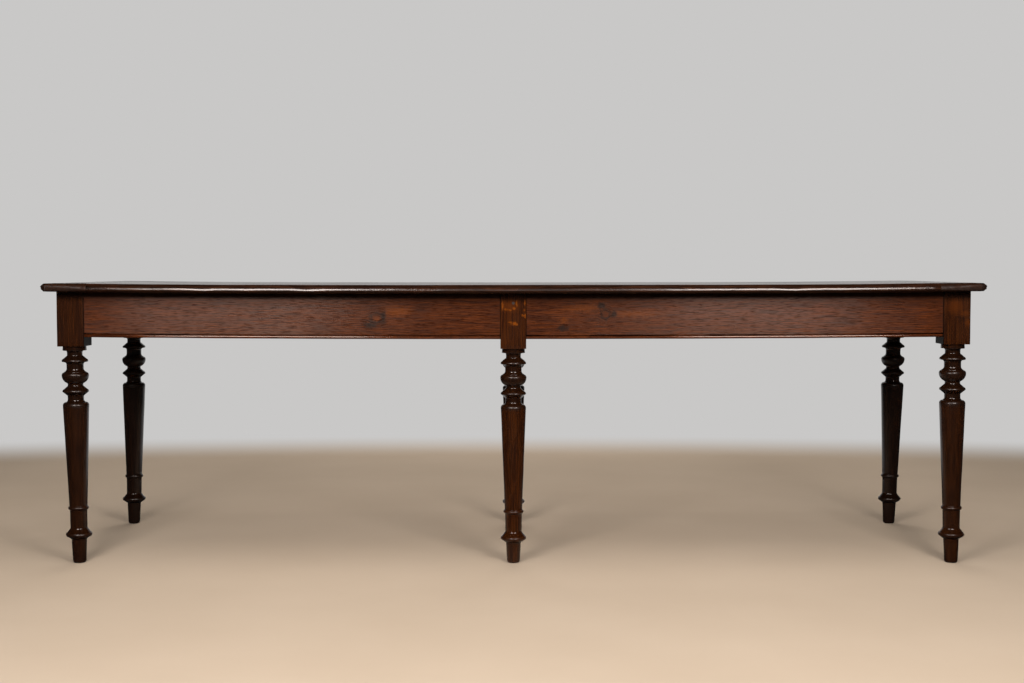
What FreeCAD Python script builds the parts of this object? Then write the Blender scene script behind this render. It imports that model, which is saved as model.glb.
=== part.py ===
import FreeCAD, Part
import math
import os

from FreeCAD import Rotation, Vector

# A long refectory table in oak: a planked top with cleated ends, on a mortised frame of six turned legs.
# The origin is on the floor under the middle of the top, X runs along the table, Y to its rear, Z up.
# Lengths are in millimetres.

# Whole table
TABLE_HEIGHT = 766.0
TOP_LENGTH = 2534.0
TOP_WIDTH = 747.0
TOP_THICKNESS = 23.0
OVERHANG = 35.0

# Planks and cleats of the top
BOARD_NAMES = ("front", "second", "third", "rear")
BOARD_COUNT = len(BOARD_NAMES)
CLEAT_WIDTH = 125.0
TOP_CORNER_RADIUS = 18.0
NOSING_UPPER_RADIUS = 16.0
NOSING_LOWER_RADIUS = 6.5
UPPER_NOSING_LIMIT_SHARE = 0.7
LOWER_NOSING_LIMIT_SHARE = 0.29
TONGUE_THICKNESS = 7.0
BOARD_TONGUE_LENGTH = 8.0
CLEAT_TONGUE_LENGTH = 14.0
CLEAT_TONGUE_STOP = 30.0
CLEAT_TONGUE_SHOULDER = 4.0
CLEAT_TENON_WIDTH = 80.0
CLEAT_TENON_LENGTH = 60.0
GROOVE_END_GAP = 1.0
CLEAT_PEG_DIAMETER = 9.0
CLEAT_PEG_INSET = 35.0
PEG_CLEARANCE = 0.2

# Square blocks at the tops of the legs
CORNER_BLOCK = 72.5
CORNER_BLOCK_DROP = 20.5
MIDDLE_BLOCK = 69.5
MIDDLE_BLOCK_DROP = 29.5
MIDDLE_POMMEL_HEIGHT = 9.0
MIDDLE_POMMEL_DIAMETER = 67.0

# Turned part of a leg, from the block down to the floor
COLLAR_DIAMETER = 62.0
COLLAR_LIP_DIAMETER = 63.0
COLLAR_HEIGHT = 12.0
COLLAR_SHOULDER_DIAMETER = 47.0
COLLAR_COVE_HEIGHT = 6.0
NECK_DIAMETER = 40.5
COLLAR_NECK_HEIGHT = 6.5
RING_DIAMETER = 69.5
RING_FLARE_DIAMETER = 62.5
RING_RIM_HEIGHT = 5.5
RING_LIP_DIAMETER = 66.0
RING_LIP_HEIGHT = 2.2
UPPER_RING_COVE_DIAMETER = 45.5
UPPER_RING_COVE_HEIGHT = 3.5
UPPER_RING_FLARE_HEIGHT = 7.3
RING_UNDERCUT_DIAMETER = 53.0
RING_UNDERCUT_HEIGHT = 1.3
RING_UNDERCUT_COVE_HEIGHT = 6.0
BALL_NECK_DIAMETER = 45.0
BALL_NECK_HEIGHT = 11.2
BALL_FLARE_DIAMETER = 58.0
BALL_FLARE_HEIGHT = 9.0
BALL_FILLET_HEIGHT = 1.2
BALL_DIAMETER = 71.5
BALL_TOP_HEIGHT = 8.0
BALL_BOTTOM_HEIGHT = 22.0
BALL_FOOT_DIAMETER = 43.0
BALL_COVE_HEIGHT = 2.5
LOWER_NECK_HEIGHT = 2.0
LOWER_RING_COVE_DIAMETER = 46.5
LOWER_RING_COVE_HEIGHT = 5.0
LOWER_RING_FLARE_HEIGHT = 7.0
RING_BEVEL_DIAMETER = 46.0
RING_BEVEL_HEIGHT = 8.4
RING_BEVEL_COVE_HEIGHT = 2.8
SHOULDER_NECK_DIAMETER = 42.5
SHOULDER_NECK_HEIGHT = 8.9
SHOULDER_FLARE_DIAMETER = 54.0
SHOULDER_FLARE_HEIGHT = 7.3
SHOULDER_DIAMETER = 69.0
SHOULDER_HEIGHT = 9.0
SHAFT_FOOT_DIAMETER = 47.5
ASTRAGAL_DIAMETER = 55.0
ASTRAGAL_HEIGHT = 10.0
SHANK_TOP_DIAMETER = 46.0
SHANK_FOOT_DIAMETER = 45.0
SHANK_HEIGHT = 48.0
ANKLE_COVE_DIAMETER = 50.0
ANKLE_COVE_HEIGHT = 6.0
ANKLE_FLARE_HEIGHT = 8.0
ANKLE_LIP_DIAMETER = 64.0
ANKLE_LIP_HEIGHT = 5.0
ANKLE_BEVEL_DIAMETER = 44.5
ANKLE_BEVEL_HEIGHT = 6.6
ANKLE_BEVEL_COVE_HEIGHT = 2.0
CORNER_ANKLE_HEIGHT = 78.2
MIDDLE_ANKLE_HEIGHT = 68.2
FOOT_TOP_DIAMETER = 40.5
FOOT_DIAMETER = 35.5
FOOT_TREAD_DIAMETER = 29.0
FOOT_ROUND_HEIGHT = 6.0

# Aprons and their beaded lower edge
APRON_HEIGHT = 123.0
APRON_THICKNESS = 26.0
APRON_SETBACK = 2.5
BEAD_HEIGHT = 8.5
QUIRK_HEIGHT = 2.5

# Mortises and tenons of the frame
TENON_THICKNESS = 10.0
TENON_CHEEK = 8.0
TENON_SHOULDER = 10.0
LOWER_TENON_SHARE = 0.55
STACKED_TENON_GAP = 6.0
MORTISE_WALL = 6.0
MIDDLE_MORTISE_WALL = 14.0
MORTISE_END_GAP = 2.0
MIDDLE_PEG_DIAMETER = 9.0
MIDDLE_PEG_TAIL = 8.0

# Rail between the middle legs, and the bearer across each bay
RAIL_HEIGHT = 95.0
RAIL_THICKNESS = 26.0
BEARER_HEIGHT = 60.0
BEARER_THICKNESS = 24.0
BEARER_HOUSING = 10.0

# Buttons that hold the top down, in a groove of each apron
BUTTON_LENGTH = 45.0
BUTTON_WIDTH = 38.0
BUTTON_THICKNESS = 18.0
BUTTON_GAP = 1.0
BUTTON_LIP_THICKNESS = 8.0
BUTTON_LIP_REACH = 7.0
BUTTON_GROOVE_ROOM = 1.0
LONG_BUTTON_SHARES = (0.25, 0.75)
END_BUTTON_SHARES = (0.2, 0.8)

# Slotted wood screws of the buttons and bearers
SCREW_DIAMETER = 4.5
SCREW_BITE = 12.0
SCREW_POINT = 4.0
SCREW_CLEARANCE = 0.25
SCREW_HEAD_DIAMETER = 9.0
SCREW_HEAD_HEIGHT = 3.0
SCREW_SLOT_WIDTH = 1.2
SCREW_SLOT_DEPTH = 1.4
BEARER_GRIP = 18.0
COUNTERBORE_CLEARANCE = 1.0

# Every cut runs this far past the face that it opens
CUT_OVERRUN = 5.0

# Places that follow from the sizes above
underside = TABLE_HEIGHT - TOP_THICKNESS
apron_bottom = underside - APRON_HEIGHT
block_face_x = TOP_LENGTH / 2 - OVERHANG
block_face_y = TOP_WIDTH / 2 - OVERHANG
corner_x = block_face_x - CORNER_BLOCK / 2
corner_y = block_face_y - CORNER_BLOCK / 2
middle_y = block_face_y - MIDDLE_BLOCK / 2
apron_face_x = block_face_x - APRON_SETBACK
apron_face_y = block_face_y - APRON_SETBACK
apron_inner_x = apron_face_x - APRON_THICKNESS
apron_inner_y = apron_face_y - APRON_THICKNESS
tenon_depth = APRON_SETBACK + TENON_CHEEK + TENON_THICKNESS
tenon_bottom = apron_bottom + TENON_SHOULDER
tenon_top = underside - TENON_SHOULDER
tenon_split = tenon_bottom + (tenon_top - tenon_bottom) * LOWER_TENON_SHARE
corner_tenon_length = CORNER_BLOCK - tenon_depth - MORTISE_WALL
middle_tenon_length = MIDDLE_BLOCK - MIDDLE_MORTISE_WALL
middle_peg_length = tenon_depth + MIDDLE_PEG_TAIL
rail_tenon_length = MIDDLE_BLOCK - middle_peg_length - MORTISE_WALL - MORTISE_END_GAP
cleat_joint_x = TOP_LENGTH / 2 - CLEAT_WIDTH
board_width = TOP_WIDTH / BOARD_COUNT
tongue_bottom = TABLE_HEIGHT - (TOP_THICKNESS + TONGUE_THICKNESS) / 2
tongue_top = tongue_bottom + TONGUE_THICKNESS
button_bottom = underside - BUTTON_THICKNESS
bearer_x = (corner_x - CORNER_BLOCK / 2 + MIDDLE_BLOCK / 2) / 2
board_middles = [(i + 0.5) * board_width - TOP_WIDTH / 2 for i in range(BOARD_COUNT)]
SIDES = (-1, 1)
UP = Vector(0, 0, 1)


def box(x0, x1, y0, y1, z0, z1):
    """A box between two corners, given in either order along each axis."""
    low = Vector(min(x0, x1), min(y0, y1), min(z0, z1))
    return Part.makeBox(abs(x1 - x0), abs(y1 - y0), abs(z1 - z0), low)


def rod(diameter, length, foot, direction=UP):
    """A round rod that starts at foot and runs along direction."""
    return Part.makeCylinder(diameter / 2, length, foot, direction)


def edges_below(solid, z):
    return [e for e in solid.Edges if e.BoundBox.ZMax < z]


def edges_above(solid, z):
    return [e for e in solid.Edges if e.BoundBox.ZMin > z]


def save(name, *solids):
    """Writes one node: a single solid, or a group of separate ones."""
    shape = solids[0] if len(solids) == 1 else Part.makeCompound(list(solids))
    shape.exportStep(os.path.join("parts", name + ".step"))
    print(name, len(shape.Solids), "solids", round(shape.Volume / 1000), "cm3", shape.isValid())


def upright_arc(upright, other):
    """The arc of a turned profile, in the XZ plane, that leaves one end parallel to the leg's axis."""
    drop = other.z - upright.z
    spread = other.x - upright.x
    centre_x = (drop * drop / spread + upright.x + other.x) / 2
    radius = upright.x - centre_x
    middle = Vector(upright.x - centre_x, 0, 0) + Vector(other.x - centre_x, 0, drop)
    middle = middle.normalize() * abs(radius)
    return Part.Arc(upright, Vector(centre_x, 0, upright.z) + middle, other).toShape()


def turned_edges(rows, top_diameter, top_z):
    """The profile's edges, from rows of (form, diameter at the lower end, height).

    A line is straight, a fall leaves its upper end upright, and a swell comes to its lower end upright.
    """
    here = Vector(top_diameter / 2, 0, top_z)
    edges = []
    for form, diameter, height in rows:
        there = Vector(diameter / 2, 0, here.z - height)
        if form == "line":
            edges.append(Part.makeLine(here, there))
        elif form == "fall":
            edges.append(upright_arc(here, there))
        else:
            edges.append(upright_arc(there, here))
        here = there
    return edges, here


def ring_rows(cove_diameter, cove_height, flare_height):
    """The upper side of a ring: a small cove, a straight flare and its rounded rim."""
    return [
        ("fall", cove_diameter, cove_height),
        ("line", RING_FLARE_DIAMETER, flare_height),
        ("swell", RING_DIAMETER, RING_RIM_HEIGHT),
    ]


def undercut_rows():
    """The underside of the top ring: a lip, cut in sharply, then a cove to the next neck."""
    return [
        ("fall", RING_LIP_DIAMETER, RING_LIP_HEIGHT),
        ("line", RING_UNDERCUT_DIAMETER, RING_UNDERCUT_HEIGHT),
        ("swell", BALL_NECK_DIAMETER, RING_UNDERCUT_COVE_HEIGHT),
    ]


def bevel_rows():
    """The underside of the lower ring: a lip, a straight bevel, then a small cove to the next neck."""
    return [
        ("fall", RING_LIP_DIAMETER, RING_LIP_HEIGHT),
        ("line", RING_BEVEL_DIAMETER, RING_BEVEL_HEIGHT),
        ("swell", SHOULDER_NECK_DIAMETER, RING_BEVEL_COVE_HEIGHT),
    ]


def ankle_rows():
    """The underside of the ankle ring, with a rounder lip than the other rings."""
    return [
        ("fall", ANKLE_LIP_DIAMETER, ANKLE_LIP_HEIGHT),
        ("line", ANKLE_BEVEL_DIAMETER, ANKLE_BEVEL_HEIGHT),
        ("swell", FOOT_TOP_DIAMETER, ANKLE_BEVEL_COVE_HEIGHT),
    ]


def leg_rows(turned_height, ankle_height):
    """The whole turning. The shaft takes the height that the other turnings leave."""
    head = [
        ("line", COLLAR_LIP_DIAMETER, COLLAR_HEIGHT),
        ("line", COLLAR_SHOULDER_DIAMETER, 0),
        ("swell", NECK_DIAMETER, COLLAR_COVE_HEIGHT),
        ("line", NECK_DIAMETER, COLLAR_NECK_HEIGHT),
        *ring_rows(UPPER_RING_COVE_DIAMETER, UPPER_RING_COVE_HEIGHT, UPPER_RING_FLARE_HEIGHT),
        *undercut_rows(),
        ("line", BALL_NECK_DIAMETER, BALL_NECK_HEIGHT),
        ("fall", BALL_FLARE_DIAMETER, BALL_FLARE_HEIGHT),
        ("line", BALL_FLARE_DIAMETER, BALL_FILLET_HEIGHT),
        ("swell", BALL_DIAMETER, BALL_TOP_HEIGHT),
        ("fall", BALL_FOOT_DIAMETER, BALL_BOTTOM_HEIGHT),
        ("swell", NECK_DIAMETER, BALL_COVE_HEIGHT),
        ("line", NECK_DIAMETER, LOWER_NECK_HEIGHT),
        *ring_rows(LOWER_RING_COVE_DIAMETER, LOWER_RING_COVE_HEIGHT, LOWER_RING_FLARE_HEIGHT),
        *bevel_rows(),
        ("line", SHOULDER_NECK_DIAMETER, SHOULDER_NECK_HEIGHT),
        ("fall", SHOULDER_FLARE_DIAMETER, SHOULDER_FLARE_HEIGHT),
        ("swell", SHOULDER_DIAMETER, SHOULDER_HEIGHT),
    ]
    tail = [
        ("swell", ASTRAGAL_DIAMETER, ASTRAGAL_HEIGHT / 2),
        ("fall", SHANK_TOP_DIAMETER, ASTRAGAL_HEIGHT / 2),
        ("line", SHANK_FOOT_DIAMETER, SHANK_HEIGHT),
        *ring_rows(ANKLE_COVE_DIAMETER, ANKLE_COVE_HEIGHT, ANKLE_FLARE_HEIGHT),
    ]
    ankle = ankle_rows()
    foot = [
        ("line", FOOT_DIAMETER, ankle_height - height_of(ankle) - FOOT_ROUND_HEIGHT),
        ("fall", FOOT_TREAD_DIAMETER, FOOT_ROUND_HEIGHT),
    ]
    shaft_height = turned_height - height_of(head) - height_of(tail) - ankle_height
    return [*head, ("line", SHAFT_FOOT_DIAMETER, shaft_height), *tail, *ankle, *foot]


def height_of(rows):
    return sum(height for form, diameter, height in rows)


def turning(block_bottom, ankle_height):
    """The turned part of a leg, on the Z axis, from the floor up to the block."""
    edges, last = turned_edges(leg_rows(block_bottom, ankle_height), COLLAR_DIAMETER, block_bottom)
    top_centre = Vector(0, 0, block_bottom)
    first = Vector(COLLAR_DIAMETER / 2, 0, block_bottom)
    closing = [
        Part.makeLine(last, Vector(0, 0, 0)),
        Part.makeLine(Vector(0, 0, 0), top_centre),
        Part.makeLine(top_centre, first),
    ]
    profile = Part.Wire(Part.__sortEdges__(edges + closing))
    return Part.Face(profile).revolve(Vector(0, 0, 0), UP, 360)


def pommel(block, block_bottom):
    """The lathe's rounding of a block's lower corners, as a solid that the block is cut down to."""
    half = block / 2
    reach = half * math.sqrt(2) + CUT_OVERRUN
    rim = Vector(half * math.sqrt(2), 0, block_bottom + MIDDLE_POMMEL_HEIGHT)
    start = Vector(MIDDLE_POMMEL_DIAMETER / 2, 0, block_bottom)
    arc = upright_arc(rim, start)
    points = [rim, Vector(reach, 0, rim.z), Vector(reach, 0, underside), Vector(0, 0, underside)]
    points += [Vector(0, 0, block_bottom), start]
    profile = Part.Wire(Part.__sortEdges__([arc, *Part.makePolygon(points).Edges]))
    return Part.Face(profile).revolve(Vector(0, 0, 0), UP, 360)


def long_tenon_band(side):
    """The tenon's place across a long apron, as two Y values."""
    face = side * (apron_face_y - TENON_CHEEK)
    return face, face - side * TENON_THICKNESS


def end_tenon_band(side):
    """The tenon's place across an end apron, as two X values."""
    face = side * (apron_face_x - TENON_CHEEK)
    return face, face - side * TENON_THICKNESS


def stacked_tenon_heights(side_x):
    """At a middle leg the left apron's tenon passes over the right one's."""
    if side_x < 0:
        return tenon_split + STACKED_TENON_GAP / 2, tenon_top
    return tenon_bottom, tenon_split - STACKED_TENON_GAP / 2


def middle_peg_height(side_x):
    """Each stacked tenon is pegged at its own middle."""
    return sum(stacked_tenon_heights(side_x)) / 2


def corner_leg(side_x, side_y):
    """A corner leg, mortised for a long apron and an end apron."""
    block_bottom = apron_bottom - CORNER_BLOCK_DROP
    inner_x = side_x * (corner_x - CORNER_BLOCK / 2)
    inner_y = side_y * (corner_y - CORNER_BLOCK / 2)
    place = Vector(side_x * corner_x, side_y * corner_y, 0)
    block = box(side_x * block_face_x, inner_x, side_y * block_face_y, inner_y, block_bottom, underside)
    leg = turning(block_bottom, CORNER_ANKLE_HEIGHT).translated(place).fuse(block)
    depth = corner_tenon_length + MORTISE_END_GAP
    along_x = (inner_x - side_x * CUT_OVERRUN, inner_x + side_x * depth)
    along_y = (inner_y - side_y * CUT_OVERRUN, inner_y + side_y * depth)
    long_mortise = box(*along_x, *long_tenon_band(side_y), tenon_bottom, tenon_top)
    end_mortise = box(*end_tenon_band(side_x), *along_y, tenon_bottom, tenon_top)
    return leg.cut([long_mortise, end_mortise]).removeSplitter()


def middle_leg(side_y):
    """A middle leg, mortised for two long aprons and the cross rail, and bored for its two pegs."""
    block_bottom = apron_bottom - MIDDLE_BLOCK_DROP
    half = MIDDLE_BLOCK / 2
    place = Vector(0, side_y * middle_y, 0)
    block = box(-half, half, -half, half, block_bottom, underside)
    block = block.common(pommel(MIDDLE_BLOCK, block_bottom))
    leg = turning(block_bottom, MIDDLE_ANKLE_HEIGHT).fuse(block).translated(place)
    depth = middle_tenon_length + MORTISE_END_GAP
    cuts = []
    for side_x in SIDES:
        start = side_x * (half + CUT_OVERRUN)
        band = long_tenon_band(side_y)
        cuts.append(box(start, side_x * (half - depth), *band, *stacked_tenon_heights(side_x)))
        bore = Vector(0, side_y * (block_face_y + CUT_OVERRUN), middle_peg_height(side_x))
        hole = MIDDLE_PEG_DIAMETER + 2 * PEG_CLEARANCE
        cuts.append(rod(hole, middle_peg_length + CUT_OVERRUN, bore, Vector(0, -side_y, 0)))
    inner_y = side_y * (block_face_y - MIDDLE_BLOCK)
    rail_depth = rail_tenon_length + MORTISE_END_GAP
    rail_half = TENON_THICKNESS / 2
    along_y = (inner_y - side_y * CUT_OVERRUN, inner_y + side_y * rail_depth)
    cuts.append(box(-rail_half, rail_half, *along_y, underside - RAIL_HEIGHT + TENON_SHOULDER, tenon_top))
    return leg.cut(cuts).removeSplitter()


def apron_section(along, outward, face, start, length):
    """A beaded apron with square ends: its section is drawn at start and pushed out along the apron."""
    bead = BEAD_HEIGHT / 2

    def point(depth, z):
        return start + outward * (face - depth) + Vector(0, 0, z)

    bead_top = apron_bottom + BEAD_HEIGHT
    outline = [
        point(bead, bead_top),
        point(bead, bead_top + QUIRK_HEIGHT),
        point(0, bead_top + QUIRK_HEIGHT),
        point(0, underside),
        point(APRON_THICKNESS, underside),
        point(APRON_THICKNESS, apron_bottom),
        point(bead, apron_bottom),
    ]
    nose = Part.Arc(outline[-1], point(0, apron_bottom + bead), outline[0]).toShape()
    section = Part.Wire(Part.__sortEdges__([*Part.makePolygon(outline).Edges, nose]))
    return Part.Face(section).extrude(along * length)


def button_groove_heights():
    """The groove's lower and upper face: a button's lip bears on the upper one."""
    top = button_bottom + BUTTON_LIP_THICKNESS
    return button_bottom - BUTTON_GROOVE_ROOM, top


def long_apron(side_x, side_y):
    """An apron of a long side, from a corner leg to the middle leg."""
    outer = side_x * (corner_x - CORNER_BLOCK / 2)
    inner = side_x * MIDDLE_BLOCK / 2
    left = min(outer, inner)
    length = abs(outer - inner)
    along = Vector(1, 0, 0)
    board = apron_section(along, Vector(0, side_y, 0), apron_face_y, Vector(left, 0, 0), length)
    band = long_tenon_band(side_y)
    outer_end = outer + side_x * corner_tenon_length
    inner_end = inner - side_x * middle_tenon_length
    corner_tenon = box(outer, outer_end, *band, tenon_bottom, tenon_top)
    middle_tenon = box(inner, inner_end, *band, *stacked_tenon_heights(side_x))
    board = board.fuse([corner_tenon, middle_tenon])
    back = side_y * apron_inner_y
    groove_floor = side_y * (apron_inner_y + BUTTON_LIP_REACH + GROOVE_END_GAP)
    past_back = back - side_y * CUT_OVERRUN
    groove = box(left, left + length, past_back, groove_floor, *button_groove_heights())
    half = BEARER_THICKNESS / 2
    bearer_middle = side_x * bearer_x
    housing_floor = side_y * (apron_inner_y + BEARER_HOUSING)
    housing = box(
        bearer_middle - half,
        bearer_middle + half,
        past_back,
        housing_floor,
        underside - BEARER_HEIGHT,
        underside + CUT_OVERRUN,
    )
    peg_hole = rod(
        MIDDLE_PEG_DIAMETER + 2 * PEG_CLEARANCE,
        MIDDLE_BLOCK,
        Vector(0, side_y * block_face_y, middle_peg_height(side_x)),
        Vector(0, -side_y, 0),
    )
    return board.cut([groove, housing, peg_hole]).removeSplitter()


def end_apron(side_x):
    """An apron of a short side, between the two corner legs."""
    half = corner_y - CORNER_BLOCK / 2
    along = Vector(0, 1, 0)
    board = apron_section(along, Vector(side_x, 0, 0), apron_face_x, Vector(0, -half, 0), 2 * half)
    reach = half + corner_tenon_length
    tenons = box(*end_tenon_band(side_x), -reach, reach, tenon_bottom, tenon_top)
    back = side_x * apron_inner_x
    groove_floor = side_x * (apron_inner_x + BUTTON_LIP_REACH + GROOVE_END_GAP)
    groove = box(back - side_x * CUT_OVERRUN, groove_floor, -half, half, *button_groove_heights())
    return board.fuse(tenons).cut(groove).removeSplitter()


def cross_rail():
    """The rail that ties the two middle legs together under the top."""
    half = block_face_y - MIDDLE_BLOCK
    reach = half + rail_tenon_length
    bottom = underside - RAIL_HEIGHT
    body = box(-RAIL_THICKNESS / 2, RAIL_THICKNESS / 2, -half, half, bottom, underside)
    cheek = TENON_THICKNESS / 2
    tenons = box(-cheek, cheek, -reach, reach, bottom + TENON_SHOULDER, tenon_top)
    return body.fuse(tenons).removeSplitter()


def screw(head_seat):
    """A slotted wood screw, its point up, with the flat of its head at head_seat."""
    length = underside + SCREW_BITE - head_seat.z
    shank = rod(SCREW_DIAMETER, length - SCREW_POINT, head_seat)
    tip = Vector(head_seat.x, head_seat.y, head_seat.z + length - SCREW_POINT)
    point = Part.makeCone(SCREW_DIAMETER / 2, 0, SCREW_POINT, tip)
    under_head = head_seat - Vector(0, 0, SCREW_HEAD_HEIGHT)
    head = rod(SCREW_HEAD_DIAMETER, SCREW_HEAD_HEIGHT, under_head)
    head = head.makeFillet(SCREW_HEAD_HEIGHT / 2, edges_below(head, head.CenterOfMass.z))
    half = SCREW_SLOT_WIDTH / 2
    slot = box(
        head_seat.x - half,
        head_seat.x + half,
        head_seat.y - SCREW_HEAD_DIAMETER,
        head_seat.y + SCREW_HEAD_DIAMETER,
        under_head.z - CUT_OVERRUN,
        under_head.z + SCREW_SLOT_DEPTH,
    )
    return head.fuse([shank, point]).cut(slot).removeSplitter()


def screw_hole(head_seat, foot_z):
    """The room that a screw takes, from foot_z up to the end of its point."""
    foot = Vector(head_seat.x, head_seat.y, foot_z)
    top = underside + SCREW_BITE + SCREW_CLEARANCE
    return rod(SCREW_DIAMETER + 2 * SCREW_CLEARANCE, top - foot_z, foot)


def bearer(side_x):
    """A bearer across a bay, let into both long aprons and counterbored for its screws."""
    middle = side_x * bearer_x
    half = BEARER_THICKNESS / 2
    reach = apron_inner_y + BEARER_HOUSING
    bottom = underside - BEARER_HEIGHT
    bar = box(middle - half, middle + half, -reach, reach, bottom, underside)
    cuts = []
    for seat in bearer_screw_seats(side_x):
        foot = Vector(seat.x, seat.y, bottom - CUT_OVERRUN)
        bore = SCREW_HEAD_DIAMETER + 2 * COUNTERBORE_CLEARANCE
        cuts.append(rod(bore, seat.z - foot.z, foot))
        cuts.append(screw_hole(seat, bottom))
    return bar.cut(cuts)


def bearer_screw_seats(side_x):
    """Where the bearer's screw heads sit: one screw under the middle of each board."""
    return [Vector(side_x * bearer_x, y, underside - BEARER_GRIP) for y in board_middles]


def button_places():
    """Each button as its middle, on the apron's inner face, and its turn about Z from the front apron's."""
    places = []
    for side_x in SIDES:
        outer = side_x * (corner_x - CORNER_BLOCK / 2)
        inner = side_x * MIDDLE_BLOCK / 2
        for side_y, turn in ((-1, 0), (1, 180)):
            for share in LONG_BUTTON_SHARES:
                x = inner + (outer - inner) * share
                places.append((Vector(x, side_y * apron_inner_y, 0), turn))
        half = corner_y - CORNER_BLOCK / 2
        for share in END_BUTTON_SHARES:
            y = -half + 2 * half * share
            places.append((Vector(side_x * apron_inner_x, y, 0), side_x * 90))
    return places


def button(place, turn):
    """A wooden button: a flat block under the top, with a lip that runs into the apron's groove."""
    half = BUTTON_WIDTH / 2
    back = BUTTON_GAP + BUTTON_LENGTH
    block = box(-half, half, BUTTON_GAP, back, button_bottom, underside)
    lip_top = button_bottom + BUTTON_LIP_THICKNESS
    lip = box(-half, half, -BUTTON_LIP_REACH, BUTTON_GAP, button_bottom, lip_top)
    seat = Vector(0, BUTTON_GAP + BUTTON_LENGTH / 2, button_bottom)
    hole = screw_hole(seat, button_bottom - CUT_OVERRUN)
    shape = block.fuse(lip).cut(hole).removeSplitter()
    shape.Placement = FreeCAD.Placement(place, Rotation(UP, turn))
    return shape


def button_screw_seat(place, turn):
    """Where a button's screw head sits."""
    offset = Rotation(UP, turn).multVec(Vector(0, BUTTON_GAP + BUTTON_LENGTH / 2, 0))
    return place + offset + Vector(0, 0, button_bottom)


def top_blank():
    """The whole top before it is divided: rounded corners, and a nosing all round its edge."""
    half_x = TOP_LENGTH / 2
    half_y = TOP_WIDTH / 2
    blank = box(-half_x, half_x, -half_y, half_y, underside, TABLE_HEIGHT)
    corners = [e for e in blank.Edges if e.BoundBox.ZLength > TOP_THICKNESS / 2]
    blank = blank.makeFillet(TOP_CORNER_RADIUS, corners)
    middle = underside + TOP_THICKNESS / 2
    upper_radius = min(NOSING_UPPER_RADIUS, TOP_THICKNESS * UPPER_NOSING_LIMIT_SHARE)
    lower_radius = min(NOSING_LOWER_RADIUS, TOP_THICKNESS * LOWER_NOSING_LIMIT_SHARE)
    lower = edges_below(blank, middle)
    blank = blank.makeFillet(lower_radius, lower)
    return blank.makeFillet(upper_radius, edges_above(blank, middle))


def cleat_tongue(index, side_x, extra):
    """The stub tongue and tenon at one end of a board. Extra deepens them into a groove and mortise."""
    start = side_x * cleat_joint_x
    low = index * board_width - TOP_WIDTH / 2
    high = low + board_width
    if index == 0:
        low += CLEAT_TONGUE_STOP
    else:
        low += BOARD_TONGUE_LENGTH + GROOVE_END_GAP + CLEAT_TONGUE_SHOULDER
    if index == BOARD_COUNT - 1:
        high -= CLEAT_TONGUE_STOP
    tongue_end = start + side_x * (CLEAT_TONGUE_LENGTH + extra)
    tongue = box(start, tongue_end, low, high, tongue_bottom, tongue_top)
    half = CLEAT_TENON_WIDTH / 2
    middle = board_middles[index]
    tenon_end = start + side_x * (CLEAT_TENON_LENGTH + extra)
    return tongue.fuse(box(start, tenon_end, middle - half, middle + half, tongue_bottom, tongue_top))


def cleat_peg_feet():
    """The foot of each cleat peg: one through each board's tenon at both ends."""
    x = cleat_joint_x + CLEAT_PEG_INSET
    return [Vector(side_x * x, y, underside) for side_x in SIDES for y in board_middles]


def cleat_peg_holes():
    hole = CLEAT_PEG_DIAMETER + 2 * PEG_CLEARANCE
    length = TOP_THICKNESS + 2 * CUT_OVERRUN
    return [rod(hole, length, foot - UP * CUT_OVERRUN) for foot in cleat_peg_feet()]


def board_tongue(index, extra):
    """The tongue on a board's rear edge. Extra deepens it into the next board's groove."""
    edge = (index + 1) * board_width - TOP_WIDTH / 2
    reach = edge + BOARD_TONGUE_LENGTH + extra
    return box(-cleat_joint_x, cleat_joint_x, edge, reach, tongue_bottom, tongue_top)


def top_board(blank, index, holes):
    """One plank of the top, with its tongues, tenons and groove."""
    low = index * board_width - TOP_WIDTH / 2
    strip = box(-cleat_joint_x, cleat_joint_x, low, low + board_width, underside, TABLE_HEIGHT)
    board = blank.common(strip)
    joints = [cleat_tongue(index, side_x, 0) for side_x in SIDES]
    if index < BOARD_COUNT - 1:
        joints.append(board_tongue(index, 0))
    cuts = list(holes)
    if index > 0:
        cuts.append(board_tongue(index - 1, GROOVE_END_GAP))
    return board.fuse(joints).cut(cuts).removeSplitter()


def top_cleat(blank, side_x, holes):
    """The cleat across one end of the top, grooved and mortised for the boards."""
    half_y = TOP_WIDTH / 2
    strip = box(side_x * cleat_joint_x, side_x * TOP_LENGTH / 2, -half_y, half_y, underside, TABLE_HEIGHT)
    grooves = [cleat_tongue(index, side_x, GROOVE_END_GAP) for index in range(BOARD_COUNT)]
    return blank.common(strip).cut(grooves + holes).removeSplitter()


os.makedirs("parts", exist_ok=True)

# Legs
for side_y, row in ((-1, "front"), (1, "rear")):
    for side_x, end in ((-1, "left"), (1, "right")):
        save(f"leg_{row}_{end}", corner_leg(side_x, side_y))
    save(f"leg_{row}_middle", middle_leg(side_y))

# Frame between the legs
for side_x, end in ((-1, "left"), (1, "right")):
    save(f"apron_front_{end}", long_apron(side_x, -1))
    save(f"apron_rear_{end}", long_apron(side_x, 1))
    save(f"apron_end_{end}", end_apron(side_x))
    save(f"bearer_{end}", bearer(side_x))
save("cross_rail_middle", cross_rail())
peg_feet = [(side_y, middle_peg_height(side_x)) for side_y in SIDES for side_x in SIDES]
middle_pegs = [
    rod(MIDDLE_PEG_DIAMETER, middle_peg_length, Vector(0, side_y * block_face_y, z), Vector(0, -side_y, 0))
    for side_y, z in peg_feet
]
save("middle_leg_pegs", *middle_pegs)

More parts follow.
